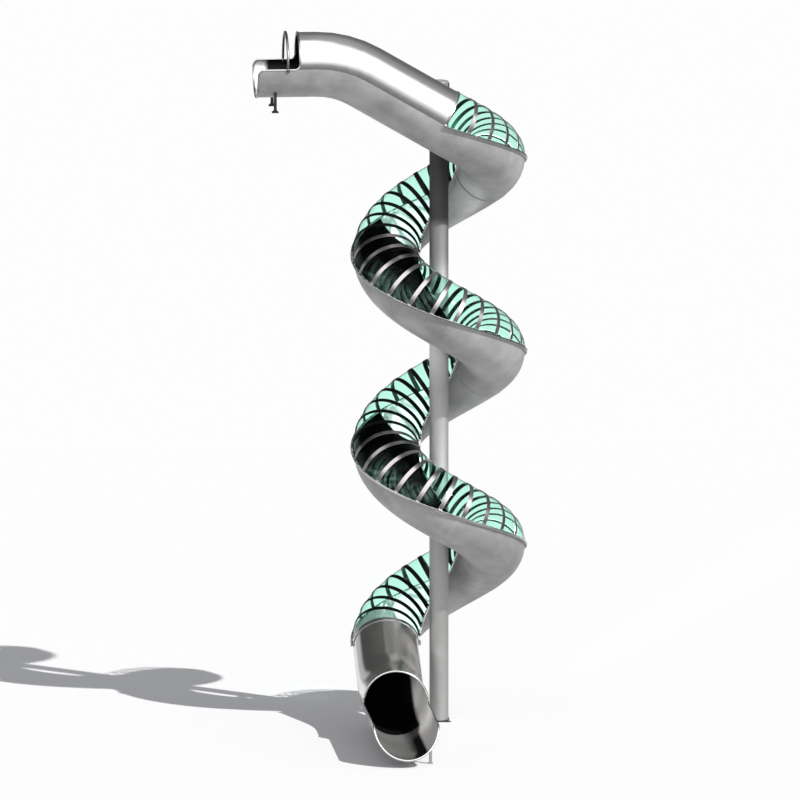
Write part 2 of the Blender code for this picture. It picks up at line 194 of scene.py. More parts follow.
def steel(name, base, rough, cloud=0.10, streak=0.06, bump=0.25, cloud_scale=2.2, tint=None, metal=None, spec=0.5):
    """Stainless sheet: clouded mill finish, fine brushing along the UV's length, faint smears.

    tint: a function of the node tree that gives a factor for the colour, for parts with painted light and shade.
    metal: a number or such a function for Metallic; frosted and painted parts are below 1.
    """
    m, t, b = new_material(name)
    if metal is None or isinstance(metal, float):
        b.inputs["Metallic"].default_value = 1.0 if metal is None else metal
    else:
        t.links.new(metal(t), b.inputs["Metallic"])
    b.inputs["Specular IOR Level"].default_value = spec
    co = node(t, "ShaderNodeTexCoord")
    uv = node(t, "ShaderNodeMapping")
    uv.inputs["Scale"].default_value = (3.0, 170.0, 1.0)
    t.links.new(co.outputs["UV"], uv.inputs["Vector"])
    clouds = node(t, "ShaderNodeTexNoise", _Scale=cloud_scale, _Detail=5.0, _Roughness=0.6)
    t.links.new(co.outputs["Object"], clouds.inputs["Vector"])
    fine = node(t, "ShaderNodeTexNoise", _Scale=1.0, _Detail=3.0, _Roughness=0.65)
    t.links.new(uv.outputs["Vector"], fine.inputs["Vector"])
    smear = node(t, "ShaderNodeTexNoise", _Scale=9.0, _Detail=4.0, _Roughness=0.7, _Distortion=0.6)
    t.links.new(co.outputs["Object"], smear.inputs["Vector"])

    lo = [c * (1.0 - cloud) for c in base]
    hi = [min(1.0, c * (1.0 + cloud)) for c in base]
    col = ramp(t, clouds.outputs["Fac"], [(0.33, lo), (0.67, hi)])
    mix = node(t, "ShaderNodeMix", data_type="RGBA", blend_type="MULTIPLY")
    mix.inputs["Factor"].default_value = 1.0
    grain = ramp(t, fine.outputs["Fac"], [(0.25, (1.0 - streak,) * 3), (0.75, (1.0,) * 3)])
    t.links.new(col, mix.inputs[6])
    t.links.new(grain, mix.inputs[7])
    if tint is None:
        t.links.new(mix.outputs[2], b.inputs["Base Color"])
    else:
        painted_tint = node(t, "ShaderNodeVectorMath", operation="SCALE")
        t.links.new(mix.outputs[2], painted_tint.inputs[0])
        t.links.new(tint(t), painted_tint.inputs["Scale"])
        t.links.new(painted_tint.outputs[0], b.inputs["Base Color"])

    add = node(t, "ShaderNodeMath", operation="MULTIPLY_ADD")
    add.inputs[1].default_value = 0.16
    add.inputs[2].default_value = rough - 0.08
    t.links.new(smear.outputs["Fac"], add.inputs[0])
    t.links.new(add.outputs[0], b.inputs["Roughness"])

    bm = node(t, "ShaderNodeBump")
    bm.inputs["Strength"].default_value = bump
    bm.inputs["Distance"].default_value = 0.0006
    t.links.new(fine.outputs["Fac"], bm.inputs["Height"])
    bm2 = node(t, "ShaderNodeBump")
    bm2.inputs["Strength"].default_value = bump
    bm2.inputs["Distance"].default_value = 0.010
    t.links.new(clouds.outputs["Fac"], bm2.inputs["Height"])
    t.links.new(bm.outputs["Normal"], bm2.inputs["Normal"])
    t.links.new(bm2.outputs["Normal"], b.inputs["Normal"])
    return m


def clear_sheet(name):
    """Pale green polycarbonate: clear, slightly scuffed."""
    m, t, b = new_material(name)
    b.inputs["Transmission Weight"].default_value = 1.0
    b.inputs["IOR"].default_value = 1.09
    co = node(t, "ShaderNodeTexCoord")
    haze = node(t, "ShaderNodeTexNoise", _Scale=6.0, _Detail=4.0, _Roughness=0.6)
    t.links.new(co.outputs["Object"], haze.inputs["Vector"])
    col = ramp(t, haze.outputs["Fac"], [(0.3, (0.73, 0.99, 0.905)), (0.7, (0.75, 1.0, 0.915))])
    t.links.new(col, b.inputs["Base Color"])
    r = node(t, "ShaderNodeMath", operation="MULTIPLY_ADD")
    r.inputs[1].default_value = 0.06
    r.inputs[2].default_value = 0.01
    t.links.new(haze.outputs["Fac"], r.inputs[0])
    t.links.new(r.outputs[0], b.inputs["Roughness"])
    return m


def rubber(name, lo=(0.018, 0.018, 0.019), hi=(0.035, 0.035, 0.036)):
    m, t, b = new_material(name)
    co = node(t, "ShaderNodeTexCoord")
    n = node(t, "ShaderNodeTexNoise", _Scale=60.0, _Detail=3.0)
    t.links.new(co.outputs["Object"], n.inputs["Vector"])
    col = ramp(t, n.outputs["Fac"], [(0.3, lo), (0.7, hi)])
    t.links.new(col, b.inputs["Base Color"])
    b.inputs["Roughness"].default_value = 0.75
    return m


def trough_painted_light_and_shade(t):
    """Painted light lifts the underside that faces the post, at the right of each turn, most on the top turn; painted
    shade darkens the lowest turn there.
    """
    x, y, z = place(t)
    rho = maths(t, "SQRT", maths(t, "ADD", maths(t, "MULTIPLY", x, x), maths(t, "MULTIPLY", y, y)), 0.0)
    turn = maths(t, "ARCTAN2", y, x)
    near = maths(t, "MULTIPLY", span(t, rho, 0.66, 0.48), span(t, rho, 0.20, 0.28))
    part = maths(t, "MULTIPLY", span(t, turn, math.radians(-40.0), math.radians(10.0)), span(t, turn, math.radians(110.0), math.radians(75.0)))
    gain = maths(t, "ADD", 0.14, maths(t, "MULTIPLY", span(t, z, 6.0, 6.6), 1.03))
    low = maths(t, "MULTIPLY", maths(t, "MULTIPLY", span(t, z, 3.6, 2.6), span(t, x, 0.0, 0.35)), 0.22)
    return maths(t, "SUBTRACT", maths(t, "ADD", 1.0, maths(t, "MULTIPLY", maths(t, "MULTIPLY", near, part), gain)), low)


def post_painted_shadow_and_light(t):
    """Painted shadow: the length of the pipe under the top turn's shadow is darkened, with paler painted shade just
    below it; painted light lifts the pipe further down.
    """
    x, y, z = place(t)
    dark = maths(t, "MULTIPLY", span(t, z, 6.20, 6.36), span(t, z, 7.22, 7.17))
    pale = maths(t, "MULTIPLY", span(t, z, 5.50, 5.95), span(t, z, 6.36, 6.20))
    # clean and bright are painted light that lifts the pipe between the turns
    clean = maths(t, "MULTIPLY", maths(t, "MULTIPLY", span(t, z, 1.5, 3.6), span(t, z, 5.9, 5.3)), 0.16)
    bright = maths(t, "MULTIPLY", maths(t, "MULTIPLY", span(t, z, 4.15, 4.6), span(t, z, 5.5, 5.2)), 0.55)
    base = maths(t, "ADD", 1.0, maths(t, "ADD", clean, bright))
    return maths(t, "SUBTRACT", maths(t, "SUBTRACT", base, maths(t, "MULTIPLY", dark, 0.78)), maths(t, "MULTIPLY", pale, 0.38))


def entry_painted_shade(t):
    """Painted shade: dark inside the tube; the open end where people sit down, and the upper inside, keep more of the
    colour.
    """
    x, y, z = place(t)
    unshaded_part = maths(t, "ADD", span(t, x, -2.14, -2.21), maths(t, "MULTIPLY", span(t, z, ENTRY_Z + 0.06, ENTRY_Z + 0.20), 0.35))
    return maths(t, "ADD", 0.02, maths(t, "MULTIPLY", unshaded_part, 0.97))


def bore_pale_streaks(t):
    """Pale streaks that lift the bore's painted shade, in a band that climbs across the floor on the near side of a
    turn.
    """
    co = node(t, "ShaderNodeTexCoord")
    sep = node(t, "ShaderNodeSeparateXYZ")
    t.links.new(co.outputs["UV"], sep.inputs[0])
    k = maths(t, "MODULO", maths(t, "DIVIDE", sep.outputs["X"], SEG_LEN), 2.0 * math.pi / SEGMENT)
    across = maths(t, "DIVIDE", maths(t, "SUBTRACT", sep.outputs["Y"], 0.06), math.radians(1.0) * BORE_R)
    off = maths(t, "ABSOLUTE", maths(t, "SUBTRACT", across, maths(t, "ADD", maths(t, "MULTIPLY", maths(t, "SUBTRACT", k, 16.5), 17.5), 62.0)), 0.0)
    band = maths(t, "MULTIPLY", span(t, off, 34.0, 10.0), maths(t, "MULTIPLY", span(t, k, 15.8, 17.2), span(t, k, 23.4, 22.0)))
    warp = node(t, "ShaderNodeMapping")
    warp.inputs["Scale"].default_value = (2.2, 22.0, 1.0)
    t.links.new(co.outputs["UV"], warp.inputs["Vector"])
    noise = node(t, "ShaderNodeTexNoise", _Scale=1.0, _Detail=3.0, _Roughness=0.6)
    t.links.new(warp.outputs["Vector"], noise.inputs["Vector"])
    return maths(t, "ADD", 1.0, maths(t, "MULTIPLY", maths(t, "MULTIPLY", band, span(t, noise.outputs["Fac"], 0.36, 0.66)), 40.0))


def side_wall(t):
    """The exit's side wall on the post's side, from the mouth outwards."""
    x, y, z = place(t)
    inside = maths(t, "MULTIPLY", span(t, y, -2.0, -1.5), 0.045)
    edge = span(t, maths(t, "SUBTRACT", x, inside), -HELIX_R + 0.235, -HELIX_R + 0.275)
    return maths(t, "MULTIPLY", edge, span(t, y, 0.2, -0.5))


def exit_painted_shade(t):
    """Painted shade: near black inside the tube. On the open floor the colour is darker towards the end and in a band
    beside the side wall, which keeps the full colour.
    """
    x, y, z = place(t)
    out = span(t, y, EXIT_HOOD_Y + 0.015, EXIT_HOOD_Y - 0.05)
    band = span(t, x, -HELIX_R + 0.06, -HELIX_R + 0.20)
    end = span(t, y, EXIT_END_Y + 0.30, EXIT_END_Y - 0.25)
    floor = maths(t, "SUBTRACT", maths(t, "SUBTRACT", maths(t, "SUBTRACT", 0.56, maths(t, "MULTIPLY", span(t, y, -1.85, -2.35), 0.14)), maths(t, "MULTIPLY", end, 0.30)), maths(t, "MULTIPLY", band, 0.45))
    floor = maths(t, "MAXIMUM", floor, 0.012)
    dark = maths(t, "ADD", 0.008, maths(t, "MULTIPLY", out, maths(t, "SUBTRACT", floor, 0.008)))
    wall = side_wall(t)
    return maths(t, "ADD", maths(t, "MULTIPLY", wall, 1.0), maths(t, "MULTIPLY", maths(t, "SUBTRACT", 1.0, wall), dark))


def exit_metal(t):
    """Metal only on the open floor: the side wall is frosted, the painted shade inside the tube has no metal, and the
    band beside the wall and the end have less.
    """
    x, y, z = place(t)
    out = span(t, y, EXIT_HOOD_Y + 0.015, EXIT_HOOD_Y - 0.05)
    dull = maths(t, "SUBTRACT", 1.0, maths(t, "MULTIPLY", span(t, x, -HELIX_R + 0.04, -HELIX_R + 0.17), 0.92))
    dull = maths(t, "MULTIPLY", dull, maths(t, "SUBTRACT", 1.0, maths(t, "MULTIPLY", span(t, y, EXIT_END_Y + 0.30, EXIT_END_Y - 0.25), 0.55)))
    return maths(t, "MULTIPLY", maths(t, "MULTIPLY", out, dull), maths(t, "SUBTRACT", 1.0, side_wall(t)))


M_TROUGH = steel("steel_trough", (0.385, 0.385, 0.38), 0.62, cloud=0.20, streak=0.06, cloud_scale=2.6, metal=0.30)
M_HELIX = steel("steel_helix_trough", (0.385, 0.385, 0.38), 0.62, cloud=0.20, streak=0.06, cloud_scale=2.6, metal=0.30, tint=trough_painted_light_and_shade)
# painted shade: a near-black copy of the bore steel where the bore lies in shade; the next material is its lit copy
M_BORE = steel("steel_bore_painted_shade", (0.003, 0.0035, 0.0035), 0.35, cloud=0.03, streak=0.04, bump=0.05, metal=0.0, spec=0.0, tint=bore_pale_streaks)
M_BORE_LIT = steel("steel_bore_lit_copy", (0.95, 0.95, 0.945), 0.45, cloud=0.04, streak=0.05, bump=0.05, metal=0.0)
M_ENTRY_IN = steel("steel_entry_inside", (0.80, 0.80, 0.795), 0.30, cloud=0.03, streak=0.04, bump=0.05, tint=entry_painted_shade)
M_EXIT_IN = steel("steel_exit_inside", (0.86, 0.845, 0.815), 0.45, cloud=0.10, streak=0.25, bump=0.15, tint=exit_painted_shade, metal=exit_metal, spec=0.0)
M_HOOD = steel("steel_hood", (0.58, 0.58, 0.57), 0.19, cloud=0.03, streak=0.03, bump=0.06)
# painted light: a lighter copy of the hood steel for the exit hood, which makes up for its darker reflections
M_HOOD_LOW = steel("steel_exit_hood", (0.735, 0.722, 0.698), 0.21, cloud=0.03, streak=0.03, bump=0.03)
M_POST = steel("steel_post", (0.38, 0.38, 0.375), 0.68, cloud=0.05, streak=0.04, bump=0.12, cloud_scale=1.2, tint=post_painted_shadow_and_light)
M_BAR = steel("steel_bar", (0.56, 0.555, 0.55), 0.22, cloud=0.06, streak=0.05, bump=0.1, cloud_scale=8.0)
M_GRAB = steel("steel_grab_bar", (0.17, 0.17, 0.17), 0.35, cloud=0.06, streak=0.05, bump=0.1, cloud_scale=8.0)
M_RIM = steel("steel_rim", (0.30, 0.30, 0.295), 0.28, cloud=0.06, streak=0.05, bump=0.1, cloud_scale=8.0)
M_RIM_SIDE = steel("steel_rim_side", (0.10, 0.10, 0.10), 0.40, cloud=0.06, streak=0.05, bump=0.1, cloud_scale=8.0)
M_HOOP = steel("steel_hoop", (0.36, 0.332, 0.335), 0.22, cloud=0.08, streak=0.05, bump=0.1, cloud_scale=8.0)
# painted shade: a near-black copy of the hoop steel for the hoops in the shade of the turn above
M_HOOP_SHADE = steel("steel_hoop_painted_shade", (0.004, 0.004, 0.004), 0.45, cloud=0.08, streak=0.05, bump=0.1, cloud_scale=8.0, metal=0.0, spec=0.08)
M_TRIM = steel("steel_trim", (0.50, 0.50, 0.50), 0.15, cloud=0.08, streak=0.05, bump=0.1, cloud_scale=8.0)
M_FIX = steel("steel_fixing", (0.42, 0.42, 0.42), 0.36, cloud=0.10, streak=0.05, cloud_scale=14.0)
M_FOOT = steel("steel_foot", (0.06, 0.06, 0.06), 0.45, cloud=0.15, streak=0.05, cloud_scale=14.0)
M_CLEAR = clear_sheet("clear_green_sheet")
M_RUBBER = rubber("black_gasket")
M_SEAL = rubber("pale_gasket", (0.45, 0.55, 0.52), (0.55, 0.66, 0.62))
# painted light: a dark green that stands in for the teal light on the first hoops' undersides, seen through the green
# sheet
M_HOOP_UNDER_TEAL = rubber("hoop_underside_painted_teal", (0.035, 0.085, 0.070), (0.055, 0.13, 0.105))
STATIONS_PER_TURN = 2.0 * math.pi / SEGMENT
SHADED_HOOPS_FROM, SHADED_HOOPS_TO = 7.6, 17.6      # stations of each turn whose hoops are black: painted shade, where the turn above shadows them
LIT_BORE_FROM, LIT_BORE_TO = 5.0, 14.3      # stations of each turn whose bore takes the lit copy; elsewhere it takes the painted-shade copy


# ------------------------------------------------------------------ mesh helpers
class Builder:
    """Gathers faces with UVs; one object comes out."""

    def __init__(self):
        self.v, self.f, self.uv, self.mat, self.sharp = [], [], [], [], set()

    def verts(self, pts):
        base = len(self.v)
        self.v += [tuple(p) for p in pts]
        return list(range(base, base + len(pts)))

    def face(self, idx, uv, mat=0):
        self.f.append(tuple(idx))
        self.uv.append(uv)
        self.mat.append(mat)

    def grid(self, rows, us, vs, flip=False, wrap=False, mat=0):
        """rows: lists of vertex ids; us, vs: the UV of each row and column."""
        n = len(rows[0])
        for i in range(len(rows) - 1):
            for j in range(n if wrap else n - 1):
                j2 = (j + 1) % n
                v2 = vs[j + 1] if j + 1 < len(vs) else vs[-1] + (vs[-1] - vs[-2])
                q = [rows[i][j], rows[i + 1][j], rows[i + 1][j2], rows[i][j2]]
                w = [(us[i], vs[j]), (us[i + 1], vs[j]), (us[i + 1], v2), (us[i], v2)]
                if flip:
                    q, w = q[::-1], w[::-1]
                self.face(q, w, mat(i, j) if callable(mat) else mat[j] if isinstance(mat, list) else mat)

    def crease(self, ids, closed=False):
        for a, b in zip(ids[:-1], ids[1:]):
            self.sharp.add((min(a, b), max(a, b)))
        if closed:
            self.sharp.add((min(ids[0], ids[-1]), max(ids[0], ids[-1])))

    def build(self, name, mat, slot, angle=38.0, body="root"):
        me = bpy.data.meshes.new(name)
        me.from_pydata(self.v, [], self.f)
        layer = me.uv_layers.new(name="UVMap")
        flat = [c for w in self.uv for p in w for c in p]
        layer.data.foreach_set("uv", flat)
        mats = mat if isinstance(mat, (list, tuple)) else [mat]
        for one in mats:
            me.materials.append(one)
        me.polygons.foreach_set("material_index", self.mat)
        me.update()
        me.shade_smooth()
        me.set_sharp_from_angle(angle=math.radians(angle))
        if self.sharp:
            att = me.attributes.get("sharp_edge") or me.attributes.new("sharp_edge", "BOOLEAN", "EDGE")
            for e in me.edges:
                k = (min(e.vertices), max(e.vertices))
                if k in self.sharp:
                    att.data[e.index].value = True
        o = bpy.data.objects.new(name, me)
        bpy.context.scene.collection.objects.link(o)
        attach(o, body)
        return o


def arc_lengths(pts):
    out = [0.0]
    for p, q in zip(pts[:-1], pts[1:]):
        out.append(out[-1] + math.dist(p, q))
    return out


def shell(b, rows_o, rows_i, us, vs, creases=(), inner=0):
    """Closed sheet between two grids of points; its inner face takes material inner."""
    ro = [b.verts(r) for r in rows_o]
    ri = [b.verts(r) for r in rows_i]
    b.grid(ro, us, vs)
    b.grid(ri, us, vs, flip=True, mat=inner)
    n, m = len(ro), len(ro[0])
    for i in range(n - 1):
        for j, turn in ((0, True), (m - 1, False)):
            q = [ro[i][j], ro[i + 1][j], ri[i + 1][j], ri[i][j]]
            w = [(us[i], vs[j]), (us[i + 1], vs[j]), (us[i + 1], vs[j] + 0.003), (us[i], vs[j] + 0.003)]
            if turn:
                q, w = q[::-1], w[::-1]
            b.face(q, w)
    for i, turn in ((0, False), (n - 1, True)):
        for j in range(m - 1):
            q = [ro[i][j], ro[i][j + 1], ri[i][j + 1], ri[i][j]]
            w = [(us[i], vs[j]), (us[i], vs[j + 1]), (us[i] + 0.003, vs[j + 1]), (us[i] + 0.003, vs[j])]
            if turn:
                q, w = q[::-1], w[::-1]
            b.face(q, w)
    for i in creases:
        b.crease(ro[i])
        b.crease(ri[i])


def sweep(b, frames, section, us, closed=False, vs=None, mats=None):
    """Section, a loop of (x, y), along frames, each (origin, x axis, y axis); mats: one per side."""
    loops = [b.verts([o + x * p[0] + y * p[1] for p in section]) for o, x, y in frames]
    vs = vs or arc_lengths(list(section) + [section[0]])
    rows = loops + [loops[0]] if closed else loops
    uu = us + [us[-1] + (us[-1] - us[-2])] if closed else us
    b.grid(rows, uu, vs, flip=True, wrap=True, mat=mats or 0)
    if not closed:
        b.face(loops[0], [(p[0], p[1]) for p in section])
        b.face(loops[-1][::-1], [(p[0], p[1]) for p in section[::-1]])
    return loops


def circle(r, n):
    return [(r * math.cos(2.0 * math.pi * i / n), r * math.sin(2.0 * math.pi * i / n)) for i in range(n)]


def chamfered(w, h, c):
    """Rectangle w by h round the origin, counterclockwise, with chamfers c."""
    x, y = w / 2.0, h / 2.0
    return [(x, -y + c), (x, y - c), (x - c, y), (-x + c, y), (-x, y - c), (-x, -y + c), (-x + c, -y), (x - c, -y)]


def tube_frames(points, closed=False, up=Vector((0.0, 0.0, 1.0))):
    frames, us, prev, run = [], [], None, 0.0
    n = len(points)
    for i, p in enumerate(points):
        if closed:
            t = points[(i + 1) % n] - points[i - 1]
        else:
            t = points[min(i + 1, n - 1)] - points[max(i - 1, 0)]
        t.normalize()
        ref = up if prev is None else prev
        x = (ref - t * ref.dot(t)).normalized()
        prev = x
        frames.append((p, x, t.cross(x)))
        if i:
            run += (points[i] - points[i - 1]).length
        us.append(run)
    return frames, us


def pipe(b, points, radius, sides=16, closed=False, up=Vector((0.0, 0.0, 1.0)), radii=None, mat=0):
    frames, us = tube_frames(points, closed, up)
    if closed:
        # spread the turn that is left when the section comes back round
        o, x, y = frames[-1]
        t0 = (points[1] - points[-1]).normalized()
        back = (x - t0 * x.dot(t0)).normalized()
        x0, y0 = frames[0][1], frames[0][2]
        twist = math.atan2(back.dot(y0), back.dot(x0))
        total = us[-1] + (points[0] - points[-1]).length
        spun = []
        for (o, x, y), u in zip(frames, us):
            a = -twist * u / total
            spun.append((o, x * math.cos(a) + y * math.sin(a), y * math.cos(a) - x * math.sin(a)))
        frames = spun
    if radii is not None:
        frames = [(o, x * (r / radius), y * (r / radius)) for (o, x, y), r in zip(frames, radii)]
    sweep(b, frames, circle(radius, sides), us, closed, mats=mat)


def bolt(b, p, n, side, r=0.0085, h=0.0055, washer=0.0125):
    """Hex head on a washer, standing along n at p."""
    y = n.cross(side).normalized()
    x = y.cross(n).normalized()

    def ring(rad, z, sides, turn=0.0):
        return b.verts([p + n * z + x * (rad * math.cos(2 * math.pi * i / sides + turn)) + y * (rad * math.sin(2 * math.pi * i / sides + turn))
                        for i in range(sides)])

    def join(lo, hi):
        k = len(lo)
        for i in range(k):
            b.face((lo[i], lo[(i + 1) % k], hi[(i + 1) % k], hi[i]), [(0, 0), (0.01, 0), (0.01, 0.01), (0, 0.01)])

    def cap(loop):
        b.face(loop, [(0.01 * math.cos(i), 0.01 * math.sin(i)) for i in range(len(loop))])

    w0, w1 = ring(washer, -0.0005, 16), ring(washer, 0.0014, 16)
    w2 = ring(washer - 0.0006, 0.0018, 16)
    join(w0, w1)
    join(w1, w2)
    cap(w2)
    cap(w0[::-1])
    h0, h1 = ring(r, 0.0018, 6, 0.3), ring(r, 0.0018 + h * 0.82, 6, 0.3)
    h2 = ring(r * 0.86, 0.0018 + h, 6, 0.3)
    join(h0, h1)
    join(h1, h2)
    cap(h2)
    cap(h0[::-1])


def half_arc(radius, lower, n):
    s = -1.0 if lower else 1.0
    return [(radius * math.cos(math.pi * i / n), s * radius * math.sin(math.pi * i / n)) for i in range(n + 1)]


# ------------------------------------------------------------------ helix: troughs
SUB = 3
ARC = 32
HALF = 0.5 * HOOP_W / SEG_LEN


def trough_profiles():
    """Half shell whose edges fold outwards into the side flanges."""
    out, inn = [], []
    f = 0.006
    for i in range(ARC + 1):
        v = math.radians(2.2) + math.radians(175.6) * i / ARC
        out.append(((BORE_R + SHEET) * math.cos(v), -(BORE_R + SHEET) * math.sin(v)))
        inn.append((BORE_R * math.cos(v), -BORE_R * math.sin(v)))
    r = BORE_R + SHEET
    left_o = [(FLANGE_OUT, -0.0045), (r + f + 0.003, -0.0045), (r + 0.0030, -0.0075)]
    left_i = [(FLANGE_OUT, 0.0), (r + f, 0.0), (r - 0.0005, -0.0030)]
    out = left_o + out + [(-x, y) for x, y in reversed(left_o)]
    inn = left_i + inn + [(-x, y) for x, y in reversed(left_i)]
    return out, inn


def module_span(m):
    """First and last whole station of a module; the last module has the odd panel."""
    return m * PER_MODULE, N_PANELS if m == N_MODULES - 1 else (m + 1) * PER_MODULE


def module_stations(m):
    first, last = module_span(m)
    start = first - HALF
    end = last - HALF if last < N_PANELS else last + HALF
    stop = (last - first) * SUB + (1 if last == N_PANELS else 0)
    return [start] + [u for u in (first + i / SUB for i in range(stop)) if start + 0.02 < u < end - 0.02] + [end]


def bore_mat(u):
    """The bore takes the lit copy on the far side of each turn and above the exit hood, and the painted-shade copy
    elsewhere.
    """
    return 2 if LIT_BORE_FROM < u % STATIONS_PER_TURN < LIT_BORE_TO or u > 60.0 else 1


def build_troughs():
    out, inn = trough_profiles()
    vs = arc_lengths(out)
    for m in range(N_MODULES):
        b = Builder()
        stations = module_stations(m)
        rings = [path_ring(u) for u in stations]
        us = [u * SEG_LEN for u in stations]
        shell(b, [[r.at(p) for p in out] for r in rings], [[r.at(p) for p in inn] for r in rings], us, vs,
              inner=lambda i, j: bore_mat(0.5 * (stations[i] + stations[i + 1])))
        o = b.build("slide_trough_%d" % (m + 1), (M_HELIX, M_BORE, M_BORE_LIT), "steel_sheet")
        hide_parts("trough_%d" % (m + 1))

    # fine ground weld seams on the outside, where the rolled segments meet
    b = Builder()
    for k in range(0, N_PANELS + 1):
        r = path_ring(k)
        pts = []
        for i in range(41):
            v = math.radians(3.0 + 174.0 * i / 40.0)
            pts.append((math.cos(v), -math.sin(v)))
        fr, us = [], []
        for i, (cx, cy) in enumerate(pts):
            n = r.a * cx + r.b * cy
            fr.append((r.c + n * (BORE_R + SHEET - 0.0006), r.t, n))
            us.append(i * 0.0305)
        sec = [(-0.0045, 0.0), (0.0045, 0.0), (0.0028, 0.0009), (0.0, 0.0011), (-0.0028, 0.0009)]
        sweep(b, fr, sec, us)
    b.build("trough_weld_seams", M_HELIX, "steel_sheet")


# ------------------------------------------------------------------ helix: clear panels
def build_panels():
    r0, r1 = BORE_R + 0.0012, BORE_R + 0.0052
    n = 28
    lift = 0.0022
    for m in range(N_MODULES):
        b = Builder()
        for k in range(*module_span(m)):
            gap = 0.0015 / SEG_LEN
            stations = [k + gap] + [k + i / SUB for i in range(1, SUB)] + [k + 1 - gap]
            rows_o, rows_i = [], []
            for u in stations:
                r = path_ring(u)
                po, pi = half_arc(r1, False, n), half_arc(r0, False, n)
                po[0], po[-1] = (r1, lift), (-r1, lift)
                pi[0], pi[-1] = (r0, lift), (-r0, lift)
                rows_o.append([r.at(p) for p in po])
                rows_i.append([r.at(p) for p in pi])
            vs = arc_lengths(half_arc(r1, False, n))
            shell(b, rows_o, rows_i, [u * SEG_LEN for u in stations], vs)
        o = b.build("clear_panels_%d" % (m + 1), M_CLEAR, "clear_cover", angle=50.0)
        o.visible_shadow = False          # sunlight falls through the clear sheet
        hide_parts("cover_%d" % (m + 1))


# ------------------------------------------------------------------ helix: hoops, rails, bolts
def hoop_line():
    """Mid line of a hoop in its plane: foot on the rail, bend, arch, bend, foot."""
    rad = BORE_R + 0.0098
    foot_b = 0.0102
    pts = [(FLANGE_OUT - 0.0015, foot_b), (rad + 0.0125, foot_b)]
    cx, cy, rr = rad + 0.0095, foot_b + 0.0095, 0.0095
    for i in range(1, 6):
        v = -math.pi / 2.0 - math.pi / 2.0 * i / 5.0
        pts.append((cx + rr * math.cos(v), cy + rr * math.sin(v)))
    arch = []
    n = 40
    v0 = math.asin(0.030 / rad)
    for i in range(n + 1):
        v = v0 + (math.pi - 2.0 * v0) * i / n
        arch.append((rad * math.cos(v), rad * math.sin(v)))
    return pts + arch + [(-x, y) for x, y in reversed(pts)]


